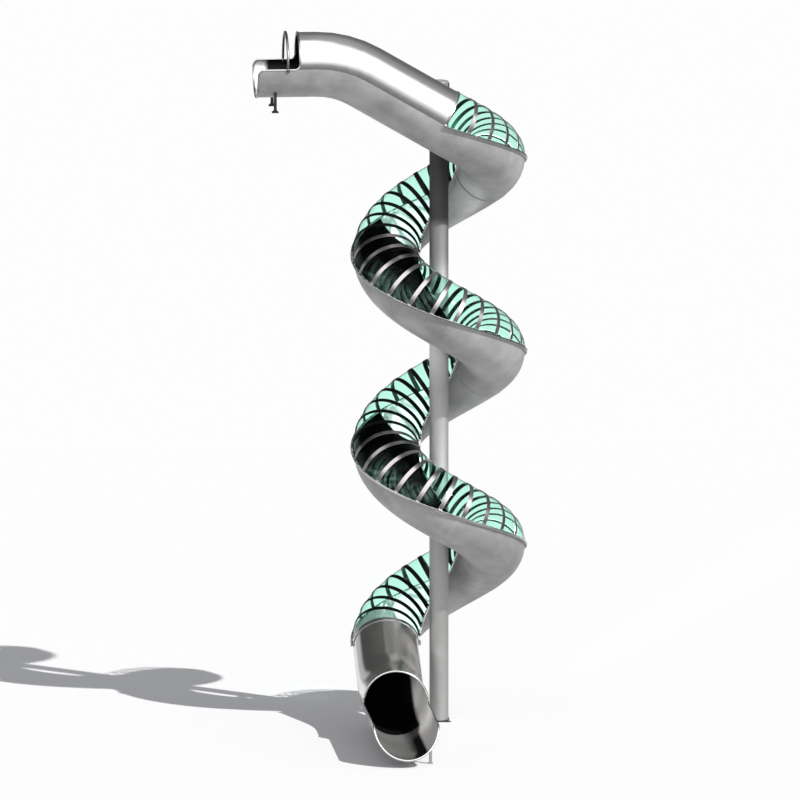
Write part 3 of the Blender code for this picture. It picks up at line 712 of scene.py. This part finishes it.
def build_frames():
    line = hoop_line()
    sec = chamfered(HOOP_W, 0.006, 0.0014)
    narrow = [(x - HOOP_W * 0.25, y) for x, y in chamfered(HOOP_W * 0.5, 0.006, 0.0014)]
    for m in range(N_MODULES):
        first, last = module_span(m)
        b = Builder()
        ribs = list(range(first, last)) + ([N_PANELS] if last == N_PANELS else [])
        for k in ribs:
            r = path_ring(k)
            top = 0
            if k == N_PANELS:
                top = 3
            # painted shade: black hoops where the turn above shadows them; past station 55 that is every hoop to the
            # exit
            elif SHADED_HOOPS_FROM <= k % STATIONS_PER_TURN < SHADED_HOOPS_TO or k > 55:
                top = 1
            frames, us, run = [], [], 0.0
            for i, p in enumerate(line):
                q0, q1 = line[max(0, i - 1)], line[min(len(line) - 1, i + 1)]
                tx, ty = q1[0] - q0[0], q1[1] - q0[1]
                L = math.hypot(tx, ty)
                n2 = (ty / L, -tx / L)
                frames.append((r.at(p), r.t, r.a * n2[0] + r.b * n2[1]))
                if i:
                    run += math.dist(line[i], line[i - 1])
                us.append(run)
            # painted light: the first hoops' undersides take the dark green; the others take black rubber
            under = 4 if k < 7.6 else 2
            shape = narrow if k == 0 else sec
            sweep(b, frames, shape, us, mats=[top, top, top, top, top, under, under, under])
        o = b.build("cover_hoops_%d" % (m + 1), (M_HOOP, M_HOOP_SHADE, M_RUBBER, M_BAR, M_HOOP_UNDER_TEAL), "bar", angle=30.0)
        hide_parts("cover_frame_%d" % (m + 1))

        rails, gasket, trim, bolts = Builder(), Builder(), Builder(), Builder()
        stations = module_stations(m)
        for s in (1.0, -1.0):
            mid = s * (BORE_R + 0.0195 + 0.0005)
            # painted shade: the inner rail and the trim take the dark steel at the start of each turn, so they show no
            # bright reflection there
            dull = lambda i, j: 1 if s < 0.0 and stations[i] % STATIONS_PER_TURN < 6.5 else 0
            pale = lambda i, j: 1 if s > 0.0 and 7.0 < stations[i] % STATIONS_PER_TURN < 18.0 else 0
            for bb, wid, thick, h in ((rails, 0.0255, 0.0048, 0.0048), (gasket, 0.0225, 0.0022, 0.0012)):
                fr, us = [], []
                for u in stations:
                    r = path_ring(u)
                    fr.append((r.at((mid, h)), r.a, r.b))
                    us.append(u * SEG_LEN)
                sweep(bb, fr, chamfered(wid, thick, 0.0008 if bb is rails else 0.0004), us, mats=dull if bb is rails else pale)
            # edge trim over the outer edges of flange and rail
            fr, us = [], []
            for u in stations:
                r = path_ring(u)
                fr.append((r.at((s * FLANGE_OUT, 0.0)), r.a * s, r.b))
                us.append(u * SEG_LEN)
            sec_ = [(-0.008, -0.0150), (0.0005, -0.0150), (0.0028, -0.0125), (0.0028, 0.0065), (0.0005, 0.0090), (-0.008, 0.0090), (-0.008, 0.0076), (0.0, 0.0076), (0.0, -0.0052), (-0.008, -0.0052)]
            sweep(trim, fr, sec_ if s > 0 else sec_[::-1], us, mats=dull)
            for k in ribs:
                r = path_ring(k)
                bolt(bolts, r.at((s * (BORE_R + 0.0232), 0.0133)), r.b, r.t, r=0.0075, h=0.005, washer=0.0095)
                if k < N_PANELS:
                    for fr_ in (1.0 / 3.0, 2.0 / 3.0):
                        r2 = path_ring(k + fr_)
                        bolt(bolts, r2.at((s * (BORE_R + 0.0205), 0.0073)), r2.b, r2.t, r=0.0068, h=0.0045, washer=0.0088)
        rails.build("cover_rails_%d" % (m + 1), (M_BAR, M_RIM_SIDE), "bar", angle=30.0)
        gasket.build("cover_gaskets_%d" % (m + 1), (M_RUBBER, M_SEAL), "fixing", angle=30.0)
        trim.build("edge_trim_%d" % (m + 1), (M_TRIM, M_RIM_SIDE), "bar", angle=30.0)
        bolts.build("cover_bolts_%d" % (m + 1), M_FIX, "fixing", angle=30.0)


# ------------------------------------------------------------------ the steel tubes
def edge_angles(radius, reach, n_fine, n_rest):
    """Angles from a rim (0) to the opposite rim (180), fine where the corner is rounded."""
    fine = [reach / radius * (1.0 - math.cos(math.pi / 2.0 * i / n_fine)) for i in range(n_fine + 1)]
    rest = [fine[-1] + (math.pi - 2.0 * fine[-1]) * i / n_rest for i in range(1, n_rest)]
    return fine + rest + [math.pi - v for v in reversed(fine)]


def corner_pull(d, r):
    """How far a rounded corner of radius r draws the end back at distance d from the rim."""
    return r - math.sqrt(max(0.0, r * r - (r - d) ** 2)) if d < r else 0.0


def tube_shells(prefix, mid_rings, open_end, hood_end, heading, at_start, names, inner, rim_mats, side_r, lip=0.0):
    """Trough and hood of a steel tube.

    mid_rings: rings between the hood's edge and the helix.  open_end, hood_end: positions
    along the straight part.  at_start: the open end comes first along the path.  lip: how
    much further the bottom of the open end reaches than its rims.
    """
    h = Vector((math.cos(heading), math.sin(heading), 0.0))
    origin = mid_rings[0].c if at_start else mid_rings[-1].c

    def straight(s):
        """Ring on the straight part, s metres out from the bend."""
        r = Ring(origin + h * (-s if at_start else s), heading, 0.0)
        return r

    ro, ri = BORE_R + SHEET, BORE_R
    angles = edge_angles(ro, CORNER_R, 9, 30)
    for lower in (True, False):
        sgn = -1.0 if lower else 1.0
        lift = 0.0 if lower else 0.0003
        reach = open_end if lower else hood_end
        rows_o, rows_i, us, creases = [], [], [], []
        # the straight part, from the bend outwards, ends in a shaped edge
        cuts = [i / 6.0 for i in range(1, 7)]
        straight_rows = []
        for c in cuts:
            row_o, row_i = [], []
            for v in angles:
                d = min(v, math.pi - v) * ro
                if lower:
                    s_end = reach - corner_pull(d, CORNER_R) + lip * math.sin(v)
                else:
                    s_end = reach + corner_pull(d, FILLET_R)
                ring = straight(s_end * c)
                p = (math.cos(v), sgn * math.sin(v))
                row_o.append(ring.at((ro * p[0], ro * p[1] + lift)))
                row_i.append(ring.at((ri * p[0], ri * p[1] + lift)))
            straight_rows.append((row_o, row_i, reach * c))
        bend = []
        for r in mid_rings:
            row_o = [r.at((ro * math.cos(v), sgn * ro * math.sin(v) + lift)) for v in angles]
            row_i = [r.at((ri * math.cos(v), sgn * ri * math.sin(v) + lift)) for v in angles]
            bend.append((row_o, row_i))
        run = [0.0]
        for p, q in zip(mid_rings[:-1], mid_rings[1:]):
            run.append(run[-1] + (q.c - p.c).length)
        if at_start:
            seq = [(o, i, -s) for o, i, s in reversed(straight_rows)] + [(o, i, u) for (o, i), u in zip(bend, run)]
            first_mitre = len(straight_rows)
            creases = list(range(first_mitre, first_mitre + BEND_N + 1)) if lower else []
        else:
            seq = [(o, i, u) for (o, i), u in zip(bend, run)] + [(o, i, run[-1] + s) for o, i, s in straight_rows]
            creases = list(range(len(bend) - 1 - BEND_N, len(bend))) if lower else []
        b = Builder()
        vs = [v * ro for v in angles]
        rows_o, rows_i, us = [s[0] for s in seq], [s[1] for s in seq], [s[2] for s in seq]
        shell(b, rows_o, rows_i, us, vs, creases, inner=1)
        name = names[0] if lower else names[1]
        o = b.build("slide_" + name, (M_TROUGH if lower else M_HOOD if at_start else M_HOOD_LOW, inner), "steel_sheet")
        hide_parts(name)

    # rolled rim round the opening
    line = []
    n = 28
    rim = BORE_R + SHEET * 0.5

    def on_sheet(s, v, sgn):
        return straight(s).at((rim * math.cos(v), sgn * rim * math.sin(v)))

    fine = [a for a in angles if a <= CORNER_R / ro + 1e-6]
    f_hood = [FILLET_R / ro * (1.0 - math.cos(math.pi / 2.0 * i / 9)) for i in range(10)]
    for i in range(n + 1):                       # over the hood, outer side to inner side
        v = f_hood[-1] + (math.pi - 2.0 * f_hood[-1]) * i / n
        line.append(on_sheet(hood_end, v, 1.0))
    for v in reversed(f_hood[:-1]):              # down the fillet on the inner side
        line.append(on_sheet(hood_end + corner_pull(v * ro, FILLET_R), math.pi - v, 1.0))
    side0, side1 = hood_end + FILLET_R, open_end - CORNER_R
    for i in range(1, 12):
        line.append(on_sheet(side0 + (side1 - side0) * i / 12.0, math.pi, -1.0))
    for v in fine:
        line.append(on_sheet(open_end - corner_pull(v * ro, CORNER_R) + lip * math.sin(v), math.pi - v, -1.0))
    for i in range(1, n):
        v = fine[-1] + (math.pi - 2.0 * fine[-1]) * i / n
        line.append(on_sheet(open_end + lip * math.sin(v), math.pi - v, -1.0))
    for v in reversed(fine):
        line.append(on_sheet(open_end - corner_pull(v * ro, CORNER_R) + lip * math.sin(v), v, -1.0))
    for i in range(11, 0, -1):
        line.append(on_sheet(side0 + (side1 - side0) * i / 12.0, 0.0, -1.0))
    for v in f_hood[:-1]:
        line.append(on_sheet(hood_end + corner_pull(v * ro, FILLET_R), v, 1.0))
    clean = [line[0]]
    for p in line[1:]:
        if (p - clean[-1]).length > 0.002:
            clean.append(p)
    # the rolled bead thins out along the straight sides
    along = [((p - origin).dot(h) * (-1.0 if at_start else 1.0)) for p in clean]
    lo_s, hi_s = hood_end + 0.001, open_end - CORNER_R * 0.8
    thin = [lo_s < s_ < hi_s and p.z - origin.z < 0.060 for s_, p in zip(along, clean)]
    radii = [side_r if th else BEAD_R for th in thin]
    radii = [(radii[i - 1] + radii[i] + radii[(i + 1) % len(radii)]) / 3.0 for i in range(len(radii))]
    b = Builder()
    pipe(b, clean, BEAD_R, 14, closed=True, up=h, radii=radii, mat=lambda i, j: 1 if thin[i] or thin[(i + 1) % len(thin)] else 0)
    o = b.build("rolled_rim_" + prefix, rim_mats, "bar")
    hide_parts(prefix + "_rim_bead")

    # weld lines: mitres of the bend, and the seam between trough and hood
    b = Builder()
    mitres = mid_rings[:BEND_N + 1] if at_start else mid_rings[-BEND_N - 1:]
    for r in mitres:
        fr, us = [], []
        for i in range(73):
            v = -math.radians(2.0) - math.radians(176.0) * i / 72.0
            nrm = r.a * math.cos(v) + r.b * math.sin(v)
            fr.append((r.c + nrm * (ro - 0.0006), r.t, nrm))
            us.append(v * ro)
        sweep(b, fr, [(0.004, 0.0), (-0.004, 0.0), (-0.0025, 0.0006), (0.0, 0.0007), (0.0025, 0.0006)], [-u for u in us])
    for s in (1.0, -1.0):
        rings = ([straight(hood_end + FILLET_R)] + mid_rings) if at_start else (mid_rings + [straight(hood_end + FILLET_R)])
        fr, us, run_ = [], [], 0.0
        for i, r in enumerate(rings):
            fr.append((r.at((s * (ro - 0.0006), 0.0)), r.b * s, r.a * s))
            if i:
                run_ += (r.c - rings[i - 1].c).length
            us.append(run_)
        sweep(b, fr, [(-0.0035, 0.0), (0.0035, 0.0), (0.0022, 0.0008), (0.0, 0.0010), (-0.0022, 0.0008)], us)
    b.build("weld_lines_" + prefix, M_TROUGH, "steel_sheet")
    return straight


def build_entry():
    rings = ENTRY_BEND + [path_ring(u) for u in (-3.2, -2.2, -1.2, -HALF)]
    bend_x = ENTRY_BEND[0].c.x
    tube_shells("entry", rings, bend_x - ENTRY_END_X, bend_x - ENTRY_HOOD_X, 0.0, True,
                ("entry_trough", "entry_hood"), M_ENTRY_IN, (M_RIM, M_BAR), 0.011)
    # grab hoop on the rims
    rad = BORE_R + 0.006
    pts = [Vector((HOOP_X, -HELIX_R - (rad + 0.004), ENTRY_Z - 0.028)), Vector((HOOP_X, -HELIX_R - (rad + 0.004), ENTRY_Z))]
    for i in range(37):
        v = math.radians(4.0) + math.radians(172.0) * i / 36.0
        pts.append(Vector((HOOP_X, -HELIX_R - (rad + 0.004 * (1 - math.sin(v))) * math.cos(v), ENTRY_Z + rad * math.sin(v))))
    pts += [Vector((HOOP_X, -HELIX_R + (rad + 0.004), ENTRY_Z)), Vector((HOOP_X, -HELIX_R + (rad + 0.004), ENTRY_Z - 0.028))]
    b = Builder()
    pipe(b, pts, GRAB_R, 20, up=Vector((1.0, 0.0, 0.0)))
    for s in (1.0, -1.0):
        c = Vector((HOOP_X, -HELIX_R - s * (rad + 0.004), ENTRY_Z + 0.006))
        ring_ = [(c + Vector((0.0, 0.0, dz)), rr) for dz, rr in ((-0.012, GRAB_R + 0.006), (-0.004, GRAB_R + 0.006), (0.004, GRAB_R + 0.002), (0.010, GRAB_R))]
        loops = [b.verts([p + Vector((rr * math.cos(a), rr * math.sin(a), 0.0)) for a in (2 * math.pi * i / 20 for i in range(20))]) for p, rr in ring_]
        b.grid(loops, [p.z for p, _ in ring_], [i * 0.006 for i in range(21)], flip=True, wrap=True)
        b.face(loops[0][::-1], [(0.0, 0.0)] * 20)
        b.face(loops[-1], [(0.0, 0.0)] * 20)
    o = b.build("grab_arch", M_GRAB, "bar")
    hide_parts("grab_hoop")


def build_exit():
    rings = [path_ring(N_PANELS + HALF), Ring(HELIX_END.c + HELIX_END.t * 0.25, -math.pi / 2.0, SLOPE)] + EXIT_BEND
    end_y = EXIT_BEND[-1].c.y
    tube_shells("exit", rings, end_y - EXIT_END_Y, end_y - EXIT_HOOD_Y, -math.pi / 2.0, False,
                ("exit_trough", "exit_hood"), M_EXIT_IN, (M_BAR, M_RIM_SIDE), 0.006, EXIT_LIP)


# ------------------------------------------------------------------ feet, post, brackets, straps
def rounded_box(b, lo, hi, c=0.002):
    """Box with chamfered vertical edges and a chamfered top."""
    x0, y0, z0 = lo
    x1, y1, z1 = hi

    def loop(inset, z):
        k = c + inset
        return b.verts([(x0 + k, y0 + inset, z), (x1 - k, y0 + inset, z), (x1 - inset, y0 + k, z), (x1 - inset, y1 - k, z),
                        (x1 - k, y1 - inset, z), (x0 + k, y1 - inset, z), (x0 + inset, y1 - k, z), (x0 + inset, y0 + k, z)])
    l0, l1, l2 = loop(0.0, z0), loop(0.0, z1 - c), loop(c, z1)
    b.grid([l0, l1, l2], [z0, z1 - c, z1], [i * 0.03 for i in range(9)], flip=True, wrap=True)
    b.face(l0[::-1], [(b.v[i][0], b.v[i][1]) for i in l0[::-1]])
    b.face(l2, [(b.v[i][0], b.v[i][1]) for i in l2])


def build_feet():
    for name in ("entry_foot_right", "entry_foot_left", "exit_foot"):
        lo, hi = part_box(name)
        cx, cy = (lo.x + hi.x) / 2.0, (lo.y + hi.y) / 2.0
        b = Builder()
        rounded_box(b, (lo.x, lo.y, lo.z), (hi.x, hi.y, lo.z + 0.008), 0.0015)
        w = 0.018
        # square leg, its top cut to the round underside of the trough
        rr = BORE_R + SHEET + 0.0006
        corners = [(w - 0.004, -w), (w, -w + 0.004), (w, w - 0.004), (w - 0.004, w), (-w + 0.004, w), (-w, w - 0.004), (-w, -w + 0.004), (-w + 0.004, -w)]
        foot_loop = b.verts([(cx + dx, cy + dy, lo.z + 0.006) for dx, dy in corners])
        top = []
        for dx, dy in corners:
            a = cy + dy + HELIX_R if "entry" in name else cx + dx + HELIX_R
            top.append((cx + dx, cy + dy, (ENTRY_Z if "entry" in name else EXIT_Z) - math.sqrt(rr * rr - a * a)))
        head = b.verts(top)
        b.grid([foot_loop, head], [0.0, hi.z - lo.z], [i * 0.018 for i in range(9)], flip=True, wrap=True)
        b.face(foot_loop[::-1], [(0.0, 0.0)] * 8)
        b.face(head, [(0.0, 0.0)] * 8)
        # gussets
        for sx, sy in ((1, 0), (-1, 0)) if "entry" in name else ((0, 1), (0, -1)):
            g = 0.020 if "entry" in name else 0.010
            p = [Vector((cx + sx * w, cy + sy * w, lo.z + 0.008)), Vector((cx + sx * (w + g), cy + sy * (w + g), lo.z + 0.008)),
                 Vector((cx + sx * w, cy + sy * w, lo.z + 0.008 + g * 1.5))]
            side = Vector((sy, sx, 0.0)) * 0.0025
            q0 = b.verts([v - side for v in p])
            q1 = b.verts([v + side for v in p])
            b.face(q0, [(0, 0), (0.03, 0), (0, 0.04)])
            b.face(q1[::-1], [(0, 0.04), (0.03, 0), (0, 0)])
            for i in range(3):
                j = (i + 1) % 3
                b.face((q0[j], q0[i], q1[i], q1[j]), [(0, 0), (0.03, 0), (0.03, 0.005), (0, 0.005)])
        d = (hi.x - lo.x) / 2.0 - 0.009
        for sx in (-1, 1):
            for sy in (-1, 1):
                bolt(b, Vector((cx + sx * d, cy + sy * d, lo.z + 0.008)), Vector((0, 0, 1)), Vector((1, 0, 0)), r=0.0045, h=0.004, washer=0.0065)
        o = b.build("support_" + name, M_FOOT if "entry" in name else M_FIX, "fixing", angle=30.0)
        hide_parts(name)


def build_post():
    lo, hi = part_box("centre_post")
    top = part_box("post_cap")[1].z
    prof = [(POST_R, lo.z), (POST_R, hi.z - 0.001), (POST_R + 0.0012, hi.z), (POST_R + 0.0012, hi.z + 0.003),
            (POST_R - 0.002, top - 0.001), (POST_R - 0.012, top + 0.001), (0.03, top + 0.003)]
    # round welds of the pipe lengths
    for z in (2.70, 5.40):
        prof = [p for p in prof if p[1] < z] + [(POST_R, z - 0.004), (POST_R + 0.0012, z - 0.002), (POST_R + 0.0012, z + 0.002), (POST_R, z + 0.004)] + [p for p in prof if p[1] > z]
    n = 72
    b = Builder()
    loops = [b.verts([(r * math.cos(2 * math.pi * i / n), r * math.sin(2 * math.pi * i / n), z) for i in range(n)]) for r, z in prof]
    b.grid(loops, [z for _, z in prof], [2 * math.pi * POST_R * i / n for i in range(n + 1)], flip=True, wrap=True)
    b.face(loops[-1], [(0.03 * math.cos(2 * math.pi * i / n), 0.03 * math.sin(2 * math.pi * i / n)) for i in range(n)])
    b.face(loops[0][::-1], [(0.1 * math.cos(2 * math.pi * i / n), 0.1 * math.sin(2 * math.pi * i / n)) for i in range(n)])
    o = b.build("post_pipe", M_POST, "post")
    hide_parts("centre_post", "post_cap")

    # lifting lug on the side of the pipe, just under its top
    b = Builder()
    rounded_box(b, (POST_R - 0.022, -0.030, top - 0.085), (POST_R + 0.010, 0.004, top - 0.020), 0.004)
    b.build("post_lug", M_RUBBER, "fixing", angle=30.0)

    b = Builder()
    lo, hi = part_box("post_base_plate")
    rounded_box(b, tuple(lo), tuple(hi), 0.003)
    # fillet weld round the pipe
    sec = [(POST_R - 0.001, hi.z - 0.001), (POST_R + 0.009, hi.z - 0.001), (POST_R + 0.004, hi.z + 0.004), (POST_R - 0.001, hi.z + 0.009)]
    loops = [b.verts([(r * math.cos(2 * math.pi * i / n), r * math.sin(2 * math.pi * i / n), z) for i in range(n)]) for r, z in sec]
    b.grid(loops + [loops[0]], [0.0, 0.01, 0.02, 0.03, 0.04], [2 * math.pi * POST_R * i / n for i in range(n + 1)], flip=True, wrap=True)
    o = b.build("base_plate", M_FOOT, "post", angle=30.0)
    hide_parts("post_base_plate")
    b = Builder()
    for i in range(4):
        lo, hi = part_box("anchor_bolt_%d" % (i + 1))
        c = (lo + hi) / 2.0
        bolt(b, Vector((c.x, c.y, lo.z)), Vector((0, 0, 1)), Vector((1, 0, 0)), r=0.0125, h=0.013, washer=0.0165)
    o = b.build("anchor_nuts", M_FIX, "fixing", angle=30.0)
    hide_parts("anchor_bolt_1", "anchor_bolt_2", "anchor_bolt_3", "anchor_bolt_4")


def build_straps():
    """Thin cover straps on the outside of the module joints."""
    for m in range(1, N_MODULES):
        k = m * PER_MODULE - HALF
        b = Builder()
        w = 0.022 / SEG_LEN
        rows_o, rows_i, us = [], [], []
        n = 40
        for u in (k - w, k - w * 0.9, k, k + w * 0.9, k + w):
            edge = abs(u - k) > w * 0.95
            r = path_ring(u)
            ro = BORE_R + SHEET + (0.0012 if edge else 0.0022)
            ri = BORE_R + SHEET - 0.0004
            ang = [math.radians(2.5 + 175.0 * i / n) for i in range(n + 1)]
            rows_o.append([r.at((ro * math.cos(v), -ro * math.sin(v))) for v in ang])
            rows_i.append([r.at((ri * math.cos(v), -ri * math.sin(v))) for v in ang])
            us.append(u * SEG_LEN)
        shell(b, rows_o, rows_i, us, [v * BORE_R for v in ang])
        o = b.build("module_strap_%d" % m, M_TROUGH, "steel_sheet", angle=50.0)
        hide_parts("joint_strap_%d" % m)


def carried_over():
    """Brackets keep their CAD shape and take the fixings' steel."""
    for i in range(1, 7):
        o = NODES["bracket_%d" % i]
        o.data.materials.clear()
        o.data.materials.append(M_FIX)


# ------------------------------------------------------------------ stage
def build_stage():
    m, t, b = new_material("pale_floor")
    lp = t.nodes.new("ShaderNodeLightPath")
    deep = node(t, "ShaderNodeMath", operation="GREATER_THAN")
    deep.inputs[1].default_value = 1.5
    t.links.new(lp.outputs["Glossy Depth"], deep.inputs[0])
    fade = node(t, "ShaderNodeMix", data_type="RGBA")
    t.links.new(deep.outputs[0], fade.inputs["Factor"])
    fade.inputs[6].default_value = (0.86, 0.86, 0.862, 1.0)
    fade.inputs[7].default_value = (0.86 * SECOND_BOUNCE, 0.86 * SECOND_BOUNCE, 0.862 * SECOND_BOUNCE, 1.0)
    t.links.new(fade.outputs[2], b.inputs["Base Color"])
    b.inputs["Roughness"].default_value = 0.9
    b.inputs["Specular IOR Level"].default_value = 0.0
    me = bpy.data.meshes.new("floor")
    x0, x1, y0, y1 = -24.0, 14.0, -14.0, 20.0
    me.from_pydata([(x0, y0, 0), (x1, y0, 0), (x1, y1, 0), (x0, y1, 0)], [], [(0, 1, 2, 3)])
    me.materials.append(m)
    o = bpy.data.objects.new("floor", me)
    o.location.z = -0.0005
    bpy.context.scene.collection.objects.link(o)

    sun = bpy.data.lights.new("sun", "SUN")
    sun.energy = SUN_W
    sun.angle = math.radians(0.6)
    sun.color = (1.0, 0.998, 0.99)
    so = bpy.data.objects.new("sun", sun)
    az, el = math.radians(-42.5), math.radians(42.8)
    to = Vector((math.cos(az) * math.cos(el), math.sin(az) * math.cos(el), math.sin(el)))
    so.rotation_mode = "QUATERNION"
    so.rotation_quaternion = to.to_track_quat("Z", "Y")
    bpy.context.scene.collection.objects.link(so)

    # a small lamp shines into the mouth of the exit
    lamp = bpy.data.lights.new("mouth_lamp", "SPOT")
    lamp.energy = LAMP_W
    lamp.spot_size = math.radians(9.0)
    lamp.spot_blend = 0.6
    lamp.shadow_soft_size = 0.15
    lo_ = bpy.data.objects.new("mouth_lamp", lamp)
    lo_.location = (-2.3, -7.0, 0.95)
    aim = Vector((-0.36, -1.55, 0.50)) - lo_.location
    lo_.rotation_mode = "QUATERNION"
    lo_.rotation_quaternion = (-aim).to_track_quat("Z", "Y")
    bpy.context.scene.collection.objects.link(lo_)

    w = bpy.data.worlds.new("studio")
    bpy.context.scene.world = w
    w.use_nodes = True
    w.cycles.sampling_method = "NONE"
    t = w.node_tree
    t.nodes.clear()
    out = t.nodes.new("ShaderNodeOutputWorld")
    co = t.nodes.new("ShaderNodeTexCoord")
    # height of the direction, and how far it points to the front of the studio
    sep = t.nodes.new("ShaderNodeSeparateXYZ")
    t.links.new(co.outputs["Generated"], sep.inputs[0])
    front = node(t, "ShaderNodeVectorMath", operation="DOT_PRODUCT")
    front.inputs[1].default_value = (-0.08, -0.997, 0.0)
    t.links.new(co.outputs["Generated"], front.inputs[0])
    up01 = node(t, "ShaderNodeMapRange")
    up01.inputs["From Min"].default_value = -1.0
    up01.inputs["From Max"].default_value = 1.0
    t.links.new(sep.outputs["Z"], up01.inputs["Value"])

    def z(el_deg):
        return (math.sin(math.radians(el_deg)) + 1.0) / 2.0

    def g(v):
        return (v, v, v * 1.01)

    up = up01.outputs["Result"]
    front_col = ramp(t, up, [(0.0, g(0.38)), (z(-20), g(0.36)), (z(-12), g(0.10)), (z(0), g(0.11)), (z(10), g(0.22)), (z(20), g(0.60)), (z(27), g(1.0))])
    right_col = ramp(t, up, [(0.0, g(0.38)), (z(-22), g(0.34)), (z(-10), g(0.06)), (z(0), g(0.07)), (z(30), g(0.08)), (z(55), g(0.20)), (z(72), g(0.22)), (z(84), g(1.0))])
    left_col = ramp(t, up, [(0.0, g(0.38)), (z(-22), g(0.34)), (z(-10), g(0.03)), (z(0), g(0.02)), (z(78), g(0.03)), (z(84), g(1.0))])

    def blend(fac, first, second):
        n = node(t, "ShaderNodeMix", data_type="RGBA")
        t.links.new(fac, n.inputs["Factor"])
        t.links.new(first, n.inputs[6])
        t.links.new(second, n.inputs[7])
        return n.outputs[2]

    back_col = blend(span(t, sep.outputs["X"], 0.0, 0.07), left_col, right_col)
    # a bright low strip behind on the left
    strip = node(t, "ShaderNodeVectorMath", operation="DOT_PRODUCT")
    strip.inputs[1].default_value = (-1.0, 0.0, 0.0)
    t.links.new(co.outputs["Generated"], strip.inputs[0])
    low = maths(t, "MULTIPLY", span(t, strip.outputs["Value"], 0.22, 0.30), span(t, sep.outputs["Z"], 0.24, 0.19))
    flat = t.nodes.new("ShaderNodeRGB")
    flat.outputs[0].default_value = (0.22, 0.22, 0.222, 1.0)
    back_col = blend(low, back_col, flat.outputs[0])
    around = blend(span(t, front.outputs["Value"], -0.20, 0.20), back_col, front_col)

    lp = t.nodes.new("ShaderNodeLightPath")

    def background(strength, colour=None):
        n = t.nodes.new("ShaderNodeBackground")
        n.inputs["Color"].default_value = (1.0, 1.0, 1.0, 1.0)
        n.inputs["Strength"].default_value = strength
        if colour is not None:
            t.links.new(colour, n.inputs["Color"])
        return n

    def choose(fac, first, second):
        n = t.nodes.new("ShaderNodeMixShader")
        t.links.new(fac, n.inputs["Fac"])
        t.links.new(first.outputs[0], n.inputs[1])
        t.links.new(second.outputs[0], n.inputs[2])
        return n

    def above(value, limit):
        n = node(t, "ShaderNodeMath", operation="GREATER_THAN")
        n.inputs[1].default_value = limit
        t.links.new(value, n.inputs[0])
        return n.outputs[0]

    # what a metal shows, at the first and at later reflections
    once = background(REFL_W, around)
    twice = background(REFL_W * SECOND_BOUNCE, around)
    glossy = choose(above(lp.outputs["Glossy Depth"], 1.5), once, twice)
    plain = choose(above(lp.outputs["Glossy Depth"], 0.5), background(BACKDROP_W), glossy)
    ambient = background(AMBIENT_W)
    ambient.inputs["Color"].default_value = (0.985, 0.995, 1.035, 1.0)
    soft = choose(above(lp.outputs["Diffuse Depth"], 0.5), plain, ambient)
    t.links.new(soft.outputs[0], out.inputs["Surface"])

    cam = bpy.data.cameras.new("camera")
    cam.type = "ORTHO"
    px = 0.0124
    cam.ortho_scale = 800.0 * px
    cam.clip_start, cam.clip_end = 0.1, 300.0
    co_ = bpy.data.objects.new("camera", cam)
    a, e = math.radians(-4.6), math.radians(9.8)
    back = Vector((math.sin(a) * math.cos(e), -math.cos(a) * math.cos(e), math.sin(e)))
    right = Vector((math.cos(a), math.sin(a), 0.0))
    upv = back.cross(right)
    # the post's foot stands at (438.95, 720.4) of the 800 by 800 frame
    target = -right * ((438.95 - 400.0) * px) + upv * ((720.4 - 400.0) * px)
    co_.location = target + back * 40.0
    co_.rotation_mode = "QUATERNION"
    co_.rotation_quaternion = back.to_track_quat("Z", "Y")
    bpy.context.scene.collection.objects.link(co_)
    bpy.context.scene.camera = co_
    bpy.context.scene.view_settings.view_transform = "Standard"
    bpy.context.scene.view_settings.look = "None"


SUN_W = 3.55
LAMP_W = 1350.0
REFL_W = 2.6
AMBIENT_W = 0.38
BACKDROP_W = 0.985
SECOND_BOUNCE = 1.00

build_stage()
build_troughs()
build_panels()
build_frames()
build_entry()
build_exit()
build_feet()
build_post()
build_straps()
carried_over()
